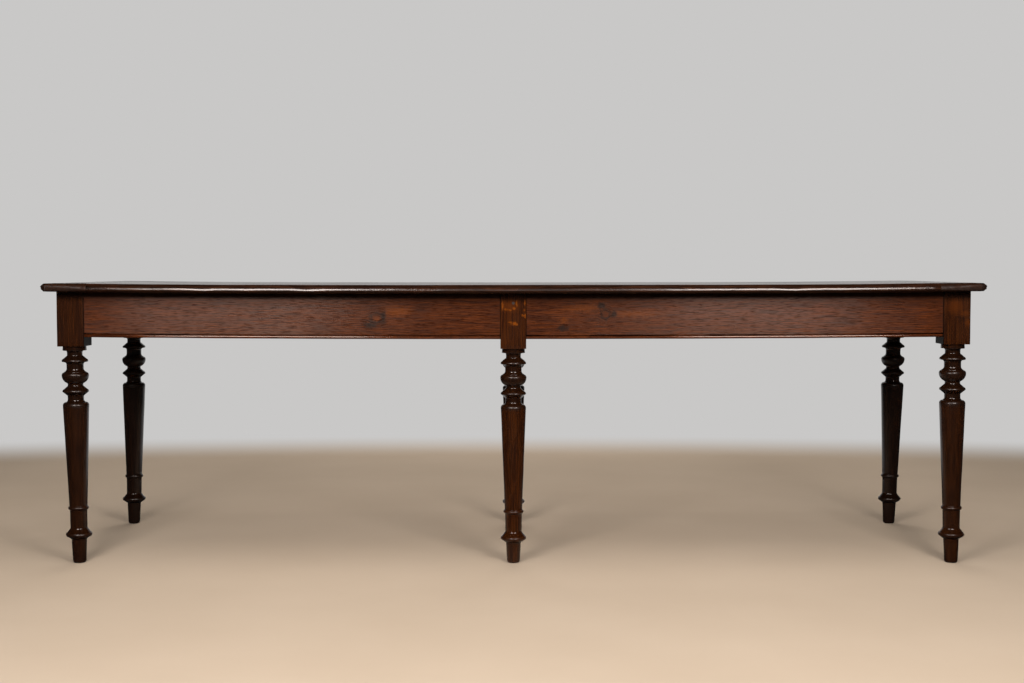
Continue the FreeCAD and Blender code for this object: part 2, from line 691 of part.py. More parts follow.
# Top and what holds it down
button_seats = [button_screw_seat(*place) for place in button_places()]
bearer_seats = [seat for side_x in SIDES for seat in bearer_screw_seats(side_x)]
pilot_holes = [screw_hole(seat, seat.z) for seat in button_seats + bearer_seats]
holes = pilot_holes + cleat_peg_holes()
blank = top_blank()
for index, name in enumerate(BOARD_NAMES):
    save(f"top_board_{name}", top_board(blank, index, holes))
for side_x, end in ((-1, "left"), (1, "right")):
    save(f"top_cleat_{end}", top_cleat(blank, side_x, holes))
save("cleat_pegs", *[rod(CLEAT_PEG_DIAMETER, TOP_THICKNESS, foot) for foot in cleat_peg_feet()])
save("top_buttons", *[button(*place) for place in button_places()])
save("button_screws", *[screw(seat) for seat in button_seats])
save("bearer_screws", *[screw(seat) for seat in bearer_seats])
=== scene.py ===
import math
import random

import bmesh
import bpy
from mathutils import Matrix, Vector, noise


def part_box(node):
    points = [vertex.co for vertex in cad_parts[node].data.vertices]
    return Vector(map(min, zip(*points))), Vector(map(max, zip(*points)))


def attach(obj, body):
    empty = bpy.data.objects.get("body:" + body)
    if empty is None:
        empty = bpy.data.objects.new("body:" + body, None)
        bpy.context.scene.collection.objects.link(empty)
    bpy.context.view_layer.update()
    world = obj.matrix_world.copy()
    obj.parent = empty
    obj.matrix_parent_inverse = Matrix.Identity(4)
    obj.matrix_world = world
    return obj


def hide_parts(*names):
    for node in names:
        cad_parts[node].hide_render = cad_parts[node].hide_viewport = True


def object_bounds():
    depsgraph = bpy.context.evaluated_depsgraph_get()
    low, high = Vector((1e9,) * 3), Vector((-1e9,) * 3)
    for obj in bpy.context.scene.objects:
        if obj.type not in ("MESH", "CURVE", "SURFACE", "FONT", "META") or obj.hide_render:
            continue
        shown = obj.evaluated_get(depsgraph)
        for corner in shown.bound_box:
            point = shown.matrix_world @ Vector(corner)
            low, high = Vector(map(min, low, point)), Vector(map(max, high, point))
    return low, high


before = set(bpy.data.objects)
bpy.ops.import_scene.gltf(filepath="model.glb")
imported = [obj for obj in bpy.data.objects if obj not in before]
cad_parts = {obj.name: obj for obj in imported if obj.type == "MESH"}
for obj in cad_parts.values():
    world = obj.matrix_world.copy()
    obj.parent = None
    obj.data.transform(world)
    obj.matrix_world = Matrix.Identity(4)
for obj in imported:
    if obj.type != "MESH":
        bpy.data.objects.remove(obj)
cad_low, cad_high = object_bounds()
bpy.ops.object.select_all(action="DESELECT")

# Legs
# Six legs of oak, each turned on a lathe from one square baulk that keeps its corners as a block at the top.
# The aprons are tenoned into the blocks. Dark stain and years of wax have left the turning nearly black.
MM = 0.001
TURNING_FACETS = 80
ARC_STEPS = 7
LINE_STEP = 9.0 * MM
BLOCK_CUTS = 9
BLOCK_ARRIS = 1.3 * MM
TURNED_ARRIS = 1.2 * MM
ARRIS_STEPS = 3
COLLAR_DIAMETER = 62.0
COLLAR_SUNK = 5.0 * MM
CORNER_BLOCK = 72.5 * MM
CORNER_BLOCK_DROP = 20.5 * MM
MIDDLE_BLOCK = 69.5 * MM
MIDDLE_BLOCK_DROP = 29.5 * MM
POMMEL_HEIGHT = 9.0 * MM
POMMEL_DIAMETER = 67.0 * MM
CORNER_ANKLE_HEIGHT = 78.2
MIDDLE_ANKLE_HEIGHT = 68.2
FRAME_SAG = 6.0 * MM
TOP_SAG = 5.0 * MM
# Painted shade under the overhang: how far down it reaches, the fade below it, and how dark it gets
OVERHANG_SHADE = 12.0 * MM
SHADE_RAMP = 13.0 * MM
SHADE_SHARE = 0.9
SMOOTH_ANGLE = 32
LEG_WANDER = (0.35 * MM, 60 * MM)
LEG_HEART_SIDE = (-50 * MM, 50 * MM)
LEG_HEART_DEPTH = (30 * MM, 60 * MM)
TRUNK_LENGTH = 9.0
SLIP_RAMP = 100 * MM
SHANK_TOP = 200 * MM
SHANK_RAMP = 250 * MM
SPOT_DEPTH = 15 * MM
RAGGED_SIZE = 9 * MM
# How far the foot of each leg has strayed sideways, in millimetres
LEG_LEAN = {"leg_front_left": 5.0, "leg_front_right": 4.0, "leg_rear_left": -7.0, "leg_rear_right": -8.0}
# How far the turner let the rings of each leg slip down, in millimetres
RING_SLIP = {"leg_front_left": 5.0, "leg_front_middle": 3.0}
# How far each stain has paled from black to orange brown
LEG_WARMTH = {
    "leg_front_left": 0.15, "leg_front_middle": 0.5, "leg_front_right": 0.25, "leg_rear_middle": 0.3,
}
BLOCK_WARMTH = 0.2
RING_WARMTH_SHARE = 0.3
# Worn places on the front of the blocks, as x, z and half sizes along both, in millimetres
THIN_STAIN = ((1190, 701, 20, 18), (-10, 704, 22, 14), (1213, 683, 13, 7), (1224, 658, 6, 9))
WORN_THROUGH = (
    (-28, 704, 3, 11), (-19, 694, 6, 3), (-9, 693, 5, 2), (2, 697, 4, 3), (9, 710, 2, 8), (31, 713, 2, 8),
    (29, 692, 2, 4), (26, 678, 4, 3), (32, 677, 2, 5), (-7, 660, 6, 2), (1, 656, 8, 4), (8, 654, 5, 3),
)
# The turning from the block down, as form, diameter at the lower end and height, in millimetres
LEG_HEAD = (
    ("line", 63.0, 12.0),  # collar under the block
    ("line", 47.0, 0.0),
    ("swell", 40.5, 6.0),  # neck
    ("line", 40.5, 6.5),
    ("fall", 45.5, 3.5),  # upper ring, undercut
    ("line", 62.5, 7.3),
    ("swell", 69.5, 5.5),
    ("fall", 66.0, 2.2),
    ("line", 53.0, 1.3),
    ("swell", 45.0, 6.0),
    ("line", 45.0, 11.2),
    ("fall", 58.0, 9.0),  # ball, with a fillet above it
    ("line", 58.0, 1.2),
    ("swell", 71.5, 8.0),
    ("fall", 43.0, 22.0),
    ("swell", 40.5, 2.5),
    ("line", 40.5, 2.0),
    ("fall", 46.5, 5.0),  # lower ring, bevelled
    ("line", 62.5, 7.0),
    ("swell", 69.5, 5.5),
    ("fall", 66.0, 2.2),
    ("line", 46.0, 8.4),
    ("swell", 42.5, 2.8),
    ("line", 42.5, 8.9),
    ("fall", 54.0, 7.3),  # shoulder of the shaft
    ("swell", 69.0, 9.0),
)
LEG_TAIL = (
    ("swell", 55.0, 5.0),  # bead above the shank
    ("fall", 46.0, 5.0),
    ("line", 45.0, 48.0),
    ("fall", 50.0, 6.0),  # ankle ring
    ("line", 62.5, 8.0),
    ("swell", 69.5, 5.5),
)
LEG_ANKLE = (("fall", 64.0, 5.0), ("line", 44.5, 6.6), ("swell", 40.5, 2.0))
SHAFT_FOOT_DIAMETER = 47.5
FOOT_DIAMETER = 35.5
TREAD_DIAMETER = 29.0
TREAD_ROUND = 6.0


def height_of(rows):
    return sum(height for form, diameter, height in rows)


def arc_points(upright, other):
    """Points from one end of an arc to the other. The arc leaves its first end parallel to the leg's axis."""
    drop, spread = other[1] - upright[1], other[0] - upright[0]
    centre = (drop * drop / spread + upright[0] + other[0]) / 2
    start = 0.0 if upright[0] > centre else math.pi
    end = math.atan2(drop, other[0] - centre)
    if start and end < 0:
        end += 2 * math.pi
    radius = abs(upright[0] - centre)
    angles = [start + (end - start) * i / ARC_STEPS for i in range(ARC_STEPS + 1)]
    return [(centre + radius * math.cos(a), upright[1] + radius * math.sin(a)) for a in angles]


def turned_points(rows, top_diameter, top):
    """The profile as points of radius and height, in metres, from its top down."""
    points = [(top_diameter * MM / 2, top)]
    for form, diameter, height in rows:
        here, there = points[-1], (diameter * MM / 2, points[-1][1] - height * MM)
        if form == "fall":
            points += arc_points(here, there)[1:]
        elif form == "swell":
            points += arc_points(there, here)[-2::-1]
        else:
            steps = max(1, round(height * MM / LINE_STEP))
            out, down = there[0] - here[0], there[1] - here[1]
            points += [(here[0] + out * i / steps, here[1] + down * i / steps) for i in range(1, steps + 1)]
    return points


def open_new(name):
    """Names the object just added, applies its place and size, and opens it for editing."""
    piece = bpy.context.object
    piece.name = name
    bpy.ops.object.transform_apply(location=True, rotation=True, scale=True)
    bpy.ops.object.mode_set(mode="EDIT")
    return piece


def turn(name, points):
    """Turns a profile on the Z axis: one point is drawn out along it, and the line is spun round."""
    bpy.ops.object.select_all(action="DESELECT")
    bpy.ops.mesh.primitive_circle_add(vertices=3, radius=MM, location=(0, 0, points[0][1]))
    piece = open_new(name)
    bpy.ops.mesh.select_mode(type="VERT")
    bpy.ops.mesh.select_all(action="SELECT")
    bpy.ops.mesh.merge(type="CENTER")
    here = (0.0, points[0][1])
    for there in [*points, (0.0, points[-1][1])]:
        step = (there[0] - here[0], 0.0, there[1] - here[1])
        bpy.ops.mesh.extrude_vertices_move(TRANSFORM_OT_translate={"value": step})
        here = there
    bpy.ops.mesh.select_all(action="SELECT")
    bpy.ops.mesh.spin(steps=TURNING_FACETS, angle=2 * math.pi, center=(0, 0, 0), axis=(0, 0, 1))
    bpy.ops.mesh.select_all(action="SELECT")
    bpy.ops.mesh.remove_doubles(threshold=MM / 100)
    bpy.ops.mesh.normals_make_consistent(inside=False)
    bpy.ops.object.mode_set(mode="OBJECT")
    return piece


def add_box(name, low, high):
    """A squared blank between two corners, open for editing."""
    bpy.ops.object.select_all(action="DESELECT")
    middle, size = (Vector(low) + Vector(high)) / 2, Vector(high) - Vector(low)
    bpy.ops.mesh.primitive_cube_add(size=1, location=middle, scale=size)
    return open_new(name)


def pick(kind, test):
    """Selects the edges or faces of the open mesh whose points, taken together, pass the test."""
    bpy.ops.mesh.select_mode(type=kind)
    bpy.ops.mesh.select_all(action="DESELECT")
    opened = bmesh.from_edit_mesh(bpy.context.object.data)
    for part in opened.edges if kind == "EDGE" else opened.faces:
        part.select_set(test([v.co for v in part.verts]))
    opened.select_flush_mode()
    bmesh.update_edit_mesh(bpy.context.object.data)


def round_edge(test, radius, segments):
    """Rounds the edges of the open mesh whose two ends both pass the test."""
    pick("EDGE", lambda ends: all(map(test, ends)))
    bpy.ops.mesh.bevel(offset=radius, segments=segments, affect="EDGES")


def near(a, b):
    return abs(a - b) < MM / 20


def shape(piece, kind, **settings):
    """Adds a modifier to a piece and applies it."""
    modifier = piece.modifiers.new(kind.lower(), kind)
    for name, value in settings.items():
        setattr(modifier, name, value)
    bpy.context.view_layer.objects.active = piece
    bpy.ops.object.modifier_apply(modifier=modifier.name)


def ease(piece, width, segments=2, angle=50):
    """Closes a piece, and takes off every arris that is sharper than an angle in degrees."""
    bpy.ops.object.mode_set(mode="OBJECT")
    sharp = math.radians(angle)
    shape(piece, "BEVEL", width=width, segments=segments, limit_method="ANGLE", angle_limit=sharp)


def join_solids(piece, tool, operation):
    """Cuts or adds one solid to another, then takes the tool away."""
    shape(piece, "BOOLEAN", operation=operation, solver="EXACT", object=tool)
    bpy.data.objects.remove(tool)


def wander(piece, amount, size, seed):
    """Moves the surface in and out a little, as handwork and age leave it. Amount and size are in metres."""
    shift = Vector((seed * 37, seed * 13, seed * 21))
    outward = [v.normal.copy() for v in piece.data.vertices]
    for v, normal in zip(piece.data.vertices, outward):
        v.co += normal * amount * noise.noise(v.co / size + shift)


def lay_grain(piece, along, across, heart, start):
    """Gives every point its place in the tree that the piece was sawn from.

    The first value runs along the trunk, and the other two run out from its heart.
    """
    depth = Vector(along).cross(Vector(across))
    grain = piece.data.attributes.new("grain", "FLOAT_VECTOR", "POINT")
    places = []
    for v in piece.data.vertices:
        places += [v.co.dot(along) + start, v.co.dot(across) - heart[0], v.co.dot(depth) - heart[1]]
    grain.data.foreach_set("vector", places)


def mark_edges(piece):
    """Marks rubbed arrises above zero and hollows below it, by how the surface turns at each point."""
    mesh = bmesh.new()
    mesh.from_mesh(piece.data)
    turns = []
    for v in mesh.verts:
        rises = [(e.other_vert(v).co - v.co).normalized().dot(v.normal) for e in v.link_edges]
        turns.append(-sum(rises) / max(1, len(rises)))
    mesh.free()
    piece.data.attributes.new("rubbed", "FLOAT", "POINT").data.foreach_set("value", turns)


def mark(piece, name, value_at):
    """Gives every point of a piece a value that its place decides."""
    values = [value_at(v.co) for v in piece.data.vertices]
    piece.data.attributes.new(name, "FLOAT", "POINT").data.foreach_set("value", values)


def clamped(share):
    return min(1.0, max(0.0, share))


def under_overhang(co, top):
    """Painted shade where the overhang keeps the light away, falling to zero lower down."""
    return SHADE_SHARE * clamped((co.z - top + OVERHANG_SHADE + SHADE_RAMP) / SHADE_RAMP)


def sag(piece):
    """Lets a piece hang with the old table, which is lower in the middle than at its ends.

    The lower edge of the frame hangs in an even curve, and the top is flatter between its ends.
    """
    for v in piece.data.vertices:
        along = v.co.x / corner_x
        frame_drop = FRAME_SAG * max(0.0, 1 - along ** 2)
        top_drop = TOP_SAG * max(0.0, 1 - along ** 4)
        up = clamped((v.co.z - apron_bottom) / (underside - apron_bottom))
        v.co.z -= frame_drop + (top_drop - frame_drop) * up


def take(*pieces):
    """Selects these pieces alone, with the first of them as the active one."""
    bpy.ops.object.select_all(action="DESELECT")
    for piece in pieces:
        piece.select_set(True)
    bpy.context.view_layer.objects.active = pieces[0]


def seat(piece, node, finish):
    """Finishes a piece and sets it in the frame in the place of a node."""
    take(piece)
    bpy.ops.object.shade_smooth_by_angle(angle=math.radians(SMOOTH_ANGLE))
    mark_edges(piece)
    piece.data.materials.clear()
    piece.data.materials.append(finish)
    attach(piece, "root")
    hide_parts(node)
    piece.select_set(False)


def copy_of(model, name, place):
    """A copy of a modelled piece with a mesh of its own, moved to its place."""
    piece = bpy.data.objects.new(name, model.data.copy())
    bpy.context.scene.collection.objects.link(piece)
    piece.data.transform(place)
    return piece


def linear(code):
    """A hex colour, as seen on screen, as the linear colour that a shader takes."""
    channels = [int(code[i:i + 2], 16) / 255 for i in (1, 3, 5)]
    return [c / 12.92 if c <= 0.04045 else ((c + 0.055) / 1.055) ** 2.4 for c in channels] + [1.0]


SMOOTH = {"interpolation_type": "SMOOTHSTEP"}
COLOURS = {"data_type": "RGBA"}
# Gloss left where dirt or painted shade is full, and on dry end grain; roughness where dirt or painted shade
# is full
DULL_GLOSS = 0.22
DIRT_ROUGHNESS = 0.62
MID_NOISE = (0.5, 0.5, 0.5)
DRIFT_LENGTH, DRIFT_WIDTH = 250 * MM, 111 * MM
CLOUD_LENGTH, CLOUD_WIDTH = 200 * MM, 62.5 * MM
STREAK_STRETCH = 26
PORE_STRETCH = 20
GRAIN_DEPTH = 0.3 * MM


def plug(node, inputs):
    """Fills the inputs of a node, by name or in their order. Each is a value or another node's output."""
    in_use = [socket for socket in node.inputs if socket.enabled]
    for key, value in inputs.items() if isinstance(inputs, dict) else enumerate(inputs):
        socket = node.inputs[key] if isinstance(key, str) else in_use[key]
        if isinstance(value, bpy.types.NodeSocket):
            node.id_data.links.new(value, socket)
        else:
            socket.default_value = value


def add(tree, kind, inputs=(), output=None, **settings):
    """Adds one node with its settings and links. Gives the output of that name, or the first in use."""
    made = tree.nodes.new("ShaderNode" + kind)
    for name, value in settings.items():
        setattr(made, name, value)
    plug(made, inputs)
    return made.outputs[output] if output else next(socket for socket in made.outputs if socket.enabled)


def new_finish(name):
    """An empty material with its shader, and the tree that holds them."""
    finish = bpy.data.materials.new(name)
    finish.use_nodes = True
    return finish, finish.node_tree, finish.node_tree.nodes["Principled BSDF"]


def stretched_noise(tree, place, length, width, detail, output=None):
    """Noise drawn out along the grain, with patches of this length and width in metres."""
    scaled = add(tree, "VectorMath", [place, (1 / length, 1 / width, 1 / width)], operation="MULTIPLY")
    return add(tree, "TexNoise", [scaled, 1.0, detail], output)


def oak_figure(tree, ring, streak, pore, waver, shift=(0.0, 0.0, 0.0)):
    """The figure of oak, in the space of the trunk: late wood of the rings, streaks, pores and clouds.

    Ring, streak and pore are widths in metres. The heart strays by waver along the trunk, so that rings come
    out as long tongues on a flat-sawn face and as arcs on an end. Shift bends the grain round a knot.
    """
    laid = add(tree, "Attribute", output="Vector", attribute_name="grain")
    grain = add(tree, "VectorMath", [laid, shift], operation="ADD")
    drift = stretched_noise(tree, grain, DRIFT_LENGTH, DRIFT_WIDTH, 3.0, "Color")
    centred = add(tree, "VectorMath", [drift, MID_NOISE], operation="SUBTRACT")
    bent = add(tree, "VectorMath", [centred, (0.0, waver, waver), grain], operation="MULTIPLY_ADD")
    out = add(tree, "VectorMath", [bent, (0.0, 1 / ring, 1 / ring)], operation="MULTIPLY")
    radius = add(tree, "VectorMath", [out], operation="LENGTH")
    year = add(tree, "Math", [radius], operation="FRACT")
    fine = stretched_noise(tree, bent, PORE_STRETCH * pore, pore, 1.0)
    return {
        "late": add(tree, "MapRange", [year, 0.35, 0.95], **SMOOTH),
        "streaks": stretched_noise(tree, bent, STREAK_STRETCH * streak, streak, 3.0),
        "pores": add(tree, "MapRange", [fine, 0.52, 0.68], **SMOOTH),
        "clouds": stretched_noise(tree, grain, CLOUD_LENGTH, CLOUD_WIDTH, 2.0),
    }


def tinted(tree, colour, tone, mask, share):
    """A tone over a colour where the mask is, by a share that is a number or an output."""
    shade = add(tree, "Math", [mask, share], operation="MULTIPLY")
    return add(tree, "Mix", [shade, colour, tone], **COLOURS)


def streaked(tree, figure, tones):
    """Streaks between two tones."""
    lit = add(tree, "MapRange", [figure["streaks"], 0.36, 0.64])
    return add(tree, "Mix", [lit, *tones], **COLOURS)


def grained(tree, figure, streak_tones, late_tone, late_share, pore_tone, pore_share):
    """The colour of grained oak, and how deep each point of the grain lies.

    Streaks run between two tones, the late wood of each ring is darker, and the pores are darker still.
    """
    ringed = tinted(tree, streaked(tree, figure, streak_tones), late_tone, figure["late"], late_share)
    pore_shade = add(tree, "Math", [figure["pores"], pore_share], operation="MULTIPLY")
    pored = add(tree, "Mix", [pore_shade, ringed, pore_tone], **COLOURS)
    depth = add(tree, "Math", [figure["streaks"], 0.5, pore_shade], operation="MULTIPLY_ADD")
    return pored, depth


def weathered(tree, colour, rubbed_tone, rubbed_share, dirt_and_shade_tone):
    """Shows paler wood on rubbed edges, painted shade with some old dirt in hollows, and a dark tone wherever
    the piece is marked for dirt or painted shade.

    Also gives how much gloss the dirt and painted shade leave, from one down to DULL_GLOSS.
    """
    rubbed = add(tree, "Attribute", output="Fac", attribute_name="rubbed")
    wear = add(tree, "MapRange", [rubbed, 0.06, 0.4, 0.0, rubbed_share])
    worn = add(tree, "Mix", [wear, colour, rubbed_tone], **COLOURS)
    # Hollows get the dark tone: painted shade, with some old dirt
    hollow_dirt_and_shade = add(tree, "MapRange", [rubbed, -0.03, -0.3, 0.0, 0.85])
    # Marked dark places: painted shade under the overhang, low on the nosing and on inner block sides, and
    # dirt in joints
    grime_and_shade = add(tree, "Attribute", output="Fac", attribute_name="grime_and_shade")
    dirt_and_shade = add(tree, "Math", [hollow_dirt_and_shade, grime_and_shade], operation="MAXIMUM")
    dirty_and_shaded = add(tree, "Mix", [dirt_and_shade, worn, dirt_and_shade_tone], **COLOURS)
    gloss = add(tree, "MapRange", [dirt_and_shade, 0.0, 1.0, 1.0, DULL_GLOSS])
    return dirty_and_shaded, gloss


def roughened(tree, gloss, roughness):
    """Roughness that rises where dirt or painted shade has taken all the gloss."""
    return add(tree, "MapRange", [gloss, DULL_GLOSS, DULL_GLOSS + 0.06, DIRT_ROUGHNESS, roughness])


def reach(tree, here, spot):
    """How far a point is from a spot on the front of the frame, as a vector whose length is one at its rim.

    The spot is x, z and half sizes along both, in millimetres.
    """
    x, z, half_x, half_z = [value * MM for value in spot]
    offset = add(tree, "VectorMath", [here, (x, frame_front, z)], operation="SUBTRACT")
    return add(tree, "VectorMath", [offset, (1 / half_x, 1 / SPOT_DEPTH, 1 / half_z)], operation="MULTIPLY")


def spots(tree, places, softness, ragged):
    """A mask of spots on the front of the frame. Ragged is how far their rims stray, in millimetres."""
    place = add(tree, "TexCoord", output="Object")
    stray = add(tree, "TexNoise", [place, 1 / RAGGED_SIZE, 5.0, 0.7], "Color")
    centred = add(tree, "VectorMath", [stray, MID_NOISE], operation="SUBTRACT")
    swing = ragged * MM * 4
    here = add(tree, "VectorMath", [centred, (swing, 0.0, swing), place], operation="MULTIPLY_ADD")
    mask = 0.0
    for spot in places:
        gap = add(tree, "VectorMath", [reach(tree, here, spot)], operation="LENGTH")
        inside = add(tree, "MapRange", [gap, 1 + softness, 1 - softness], **SMOOTH)
        mask = add(tree, "Math", [inside, mask], operation="MAXIMUM")
    return mask


def turned_oak():
    """Oak, turned, stained dark and waxed to a gloss.

    The eye gets near-black brown with warmer streaks where the stain is thin, bare orange wood where the
    blocks are worn through, painted shade with some dirt in the hollows, and small crisp highlights.
    """
    finish, tree, shader = new_finish("turned_oak_dark_wax")
    figure = oak_figure(tree, 4.5 * MM, 3.6 * MM, 1.2 * MM, 10 * MM)
    names = "warmth", "rubbed", "turning"
    warmth, rubbed, turning = [add(tree, "Attribute", output="Fac", attribute_name=name) for name in names]
    dark = add(tree, "Mix", [warmth, linear("#130904"), linear("#331402")], **COLOURS)
    light = add(tree, "Mix", [warmth, linear("#211107"), linear("#4E2604")], **COLOURS)
    colour, depth = grained(tree, figure, (dark, light), linear("#1A0C05"), 0.2, linear("#0F0703"), 0.18)
    thinned = tinted(tree, colour, linear("#643208"), spots(tree, THIN_STAIN, 0.8, 3), 0.35)
    broken = add(tree, "MapRange", [figure["streaks"], 0.4, 0.6, 0.25, 0.95])
    bared = tinted(tree, thinned, linear("#7E4208"), spots(tree, WORN_THROUGH, 0.5, 2.5), broken)
    # The near-black tone is painted shade under the top and on the inner sides of the blocks, and painted
    # shade with some old dirt in the hollows
    old, gloss = weathered(tree, bared, linear("#4A2611"), 0.35, linear("#080402"))
    dull = add(tree, "MapRange", [figure["clouds"], 0.3, 0.7, 0.17, 0.22])
    handling = add(tree, "Math", [rubbed, turning], operation="MULTIPLY")
    handled = add(tree, "MapRange", [handling, 0.01, 0.06, dull, 0.32])
    bump = add(tree, "Bump", {"Height": depth, "Strength": 0.04, "Distance": GRAIN_DEPTH}, invert=True)
    plug(shader, {
        "Base Color": old,
        "Specular Tint": gloss,
        "Specular IOR Level": 0.5,
        "Roughness": roughened(tree, gloss, handled),
        "Normal": bump,
    })
    return finish


def model_leg(block, block_top, block_drop, ankle_height, rounded):
    """One leg on the Z axis, block and turning in one solid."""
    block_bottom = apron_bottom - block_drop
    shaft = block_bottom / MM - height_of(LEG_HEAD) - height_of(LEG_TAIL) - ankle_height
    foot = ankle_height - height_of(LEG_ANKLE) - TREAD_ROUND
    rows = [
        ("line", COLLAR_DIAMETER, COLLAR_SUNK / MM),
        *LEG_HEAD,
        ("line", SHAFT_FOOT_DIAMETER, shaft),
        *LEG_TAIL,
        *LEG_ANKLE,
        ("line", FOOT_DIAMETER, foot),
        ("fall", TREAD_DIAMETER, TREAD_ROUND),
    ]
    turned = turn("turning", turned_points(rows, COLLAR_DIAMETER, block_bottom + COLLAR_SUNK))
    ease(turned, TURNED_ARRIS, ARRIS_STEPS, angle=40)
    half = block / 2
    leg = add_box("leg_model", (-half, -half, block_bottom), (half, half, block_top))
    bpy.ops.mesh.select_all(action="SELECT")
    bpy.ops.mesh.subdivide(number_cuts=BLOCK_CUTS)

    def on_arris(co):
        sides = near(abs(co.x), half) + near(abs(co.y), half)
        return sides == 2 or (sides and near(co.z, block_bottom) and not rounded)

    round_edge(on_arris, BLOCK_ARRIS, ARRIS_STEPS)
    bpy.ops.object.mode_set(mode="OBJECT")
    if rounded:
        corner = half * math.sqrt(2)
        arc = arc_points((corner, block_bottom + POMMEL_HEIGHT), (POMMEL_DIAMETER / 2, block_bottom))
        rounding = turn("pommel", [(corner, block_top + MM), *arc, (POMMEL_DIAMETER / 2, block_bottom - MM)])
        join_solids(leg, rounding, "INTERSECT")
    join_solids(leg, turned, "UNION")
    return leg


def lean_and_slip(leg, lean, slip, bottom):
    """Lets the turning lean away sideways below its block, and its rings slip down a little."""
    for v in leg.data.vertices:
        v.co.x += lean * max(0.0, 1 - v.co.z / bottom)
        below_joint = clamped((bottom - v.co.z) / SLIP_RAMP + 1)
        v.co.z -= slip * below_joint * clamped((v.co.z - SHANK_TOP) / SHANK_RAMP)


def stain_warmth(co, shaft, bottom):
    """How warm the stain is: darker among the rings, and warmer on the rubbed blocks."""
    if co.z > bottom:
        return shaft + BLOCK_WARMTH
    return shaft * (RING_WARMTH_SHARE if co.z > bottom - height_of(LEG_HEAD) * MM else 1.0)


def block_shade(co, axis, half, bottom, top):
    """Painted shade under the overhang, and on the sides of a block that face the inside of the table, where
    shade falls.
    """
    inward_x = abs(co.x) if near(axis.x, 0) else math.copysign(1, axis.x) * (axis.x - co.x)
    inward_y = math.copysign(1, axis.y) * (axis.y - co.y)
    return max(under_overhang(co, top), float(co.z > bottom and max(inward_x, inward_y) > half - MM))


apron_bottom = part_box("apron_front_left")[0].z
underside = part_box("leg_front_left")[1].z
frame_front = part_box("leg_front_left")[0].y
corner_x = (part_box("leg_front_right")[0].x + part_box("leg_front_right")[1].x) / 2
waxed_turning = turned_oak()
rng = random.Random(11)
for ends, block, block_top, drop, ankle, rounded in (
    (("left", "right"), CORNER_BLOCK, underside, CORNER_BLOCK_DROP, CORNER_ANKLE_HEIGHT, False),
    (("middle",), MIDDLE_BLOCK, underside - TOP_SAG, MIDDLE_BLOCK_DROP, MIDDLE_ANKLE_HEIGHT, True),
):
    model = model_leg(block, block_top, drop, ankle, rounded)
    block_bottom = apron_bottom - drop
    for row in ("front", "rear"):
        for end in ends:
            node = f"leg_{row}_{end}"
            low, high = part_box(node)
            axis = (low + high) / 2
            quarter_turns = Matrix.Rotation(math.radians(90 * rng.randrange(4)), 4, "Z")
            leg = copy_of(model, node + "_turned", Matrix.Translation((axis.x, axis.y, 0)) @ quarter_turns)
            wander(leg, *LEG_WANDER, rng.random())
            heart = axis.x + rng.uniform(*LEG_HEART_SIDE), -axis.y + rng.uniform(*LEG_HEART_DEPTH)
            lay_grain(leg, (0, 0, 1), (1, 0, 0), heart, rng.uniform(0, TRUNK_LENGTH))
            warmth = LEG_WARMTH.get(node, 0.0)
            mark(leg, "warmth", lambda co: stain_warmth(co, warmth, block_bottom))
            mark(leg, "turning", lambda co: float(co.z < block_bottom - MM))
            # Painted shade under the overhang and on the inner sides of the block
            mark(leg, "grime_and_shade", lambda co: block_shade(co, axis, block / 2, block_bottom, block_top))
            lean_and_slip(leg, LEG_LEAN.get(node, 0.0) * MM, RING_SLIP.get(node, 0.0) * MM, block_bottom)
            seat(leg, node, waxed_turning)
    bpy.data.objects.remove(model)

# Aprons
# The rails that join the legs under the top: planed oak boards with a bead stuck along the lower edge.
# They are tenoned into the blocks. The grain is open, and wax has dulled to a broad sheen.
BEAD_HEIGHT = 8.5 * MM
QUIRK_HEIGHT = 2.5 * MM
QUIRK_DEPTH = 4.2 * MM
BEAD_ROUND = 4.0 * MM
BEAD_STEPS = 5
APRON_STEP = 12 * MM
APRON_ARRIS = 0.7 * MM
RUBBED_EDGE = 2.0 * MM
JOINT_BITE = 0.8 * MM
JOINT_GRIME = 3.5 * MM
SHADE_STEP = 6 * MM
APRON_WANDER = (0.5 * MM, 140 * MM)
APRON_HEART_BELOW = (40 * MM, 100 * MM)
APRON_HEART_BEHIND = 70 * MM
UPRIGHT = (0.1, 0.1, 1.0)
KNOT_REACH = 2.2
KNOT_BEND = 2.0
KNOT_CORE_SHARE = 0.6
# Knots of the front aprons, the dark smudges and the orange wood beside them, as x, z and half sizes along
# both, in millimetres
KNOTS = ((-369, 671, 21, 16), (248, 681, 13, 16))
SMUDGES = ((-386, 653, 17, 8), (-352, 672, 8, 19), (134, 643, 15, 7), (238, 704, 10, 8), (272, 681, 9, 9))
FLARES = ((-314, 690, 36, 10), (136, 664, 10, 8), (186, 698, 46, 9), (337, 682, 60, 8))


def cut_across(axis, places):
    """Cuts the open mesh across one axis at each of these places."""
    normal = [float(i == axis) for i in range(3)]
    for place in places:
        bpy.ops.mesh.select_all(action="SELECT")
        bpy.ops.mesh.bisect(plane_co=[place * n for n in normal], plane_no=normal)


def divide_along(axis, length, step):
    """Cuts the open mesh across its long edges along one axis, so that its length can wander."""
    pick("EDGE", lambda ends: abs(ends[0][axis] - ends[1][axis]) > length / 2)
    bpy.ops.mesh.subdivide(number_cuts=round(length / step))


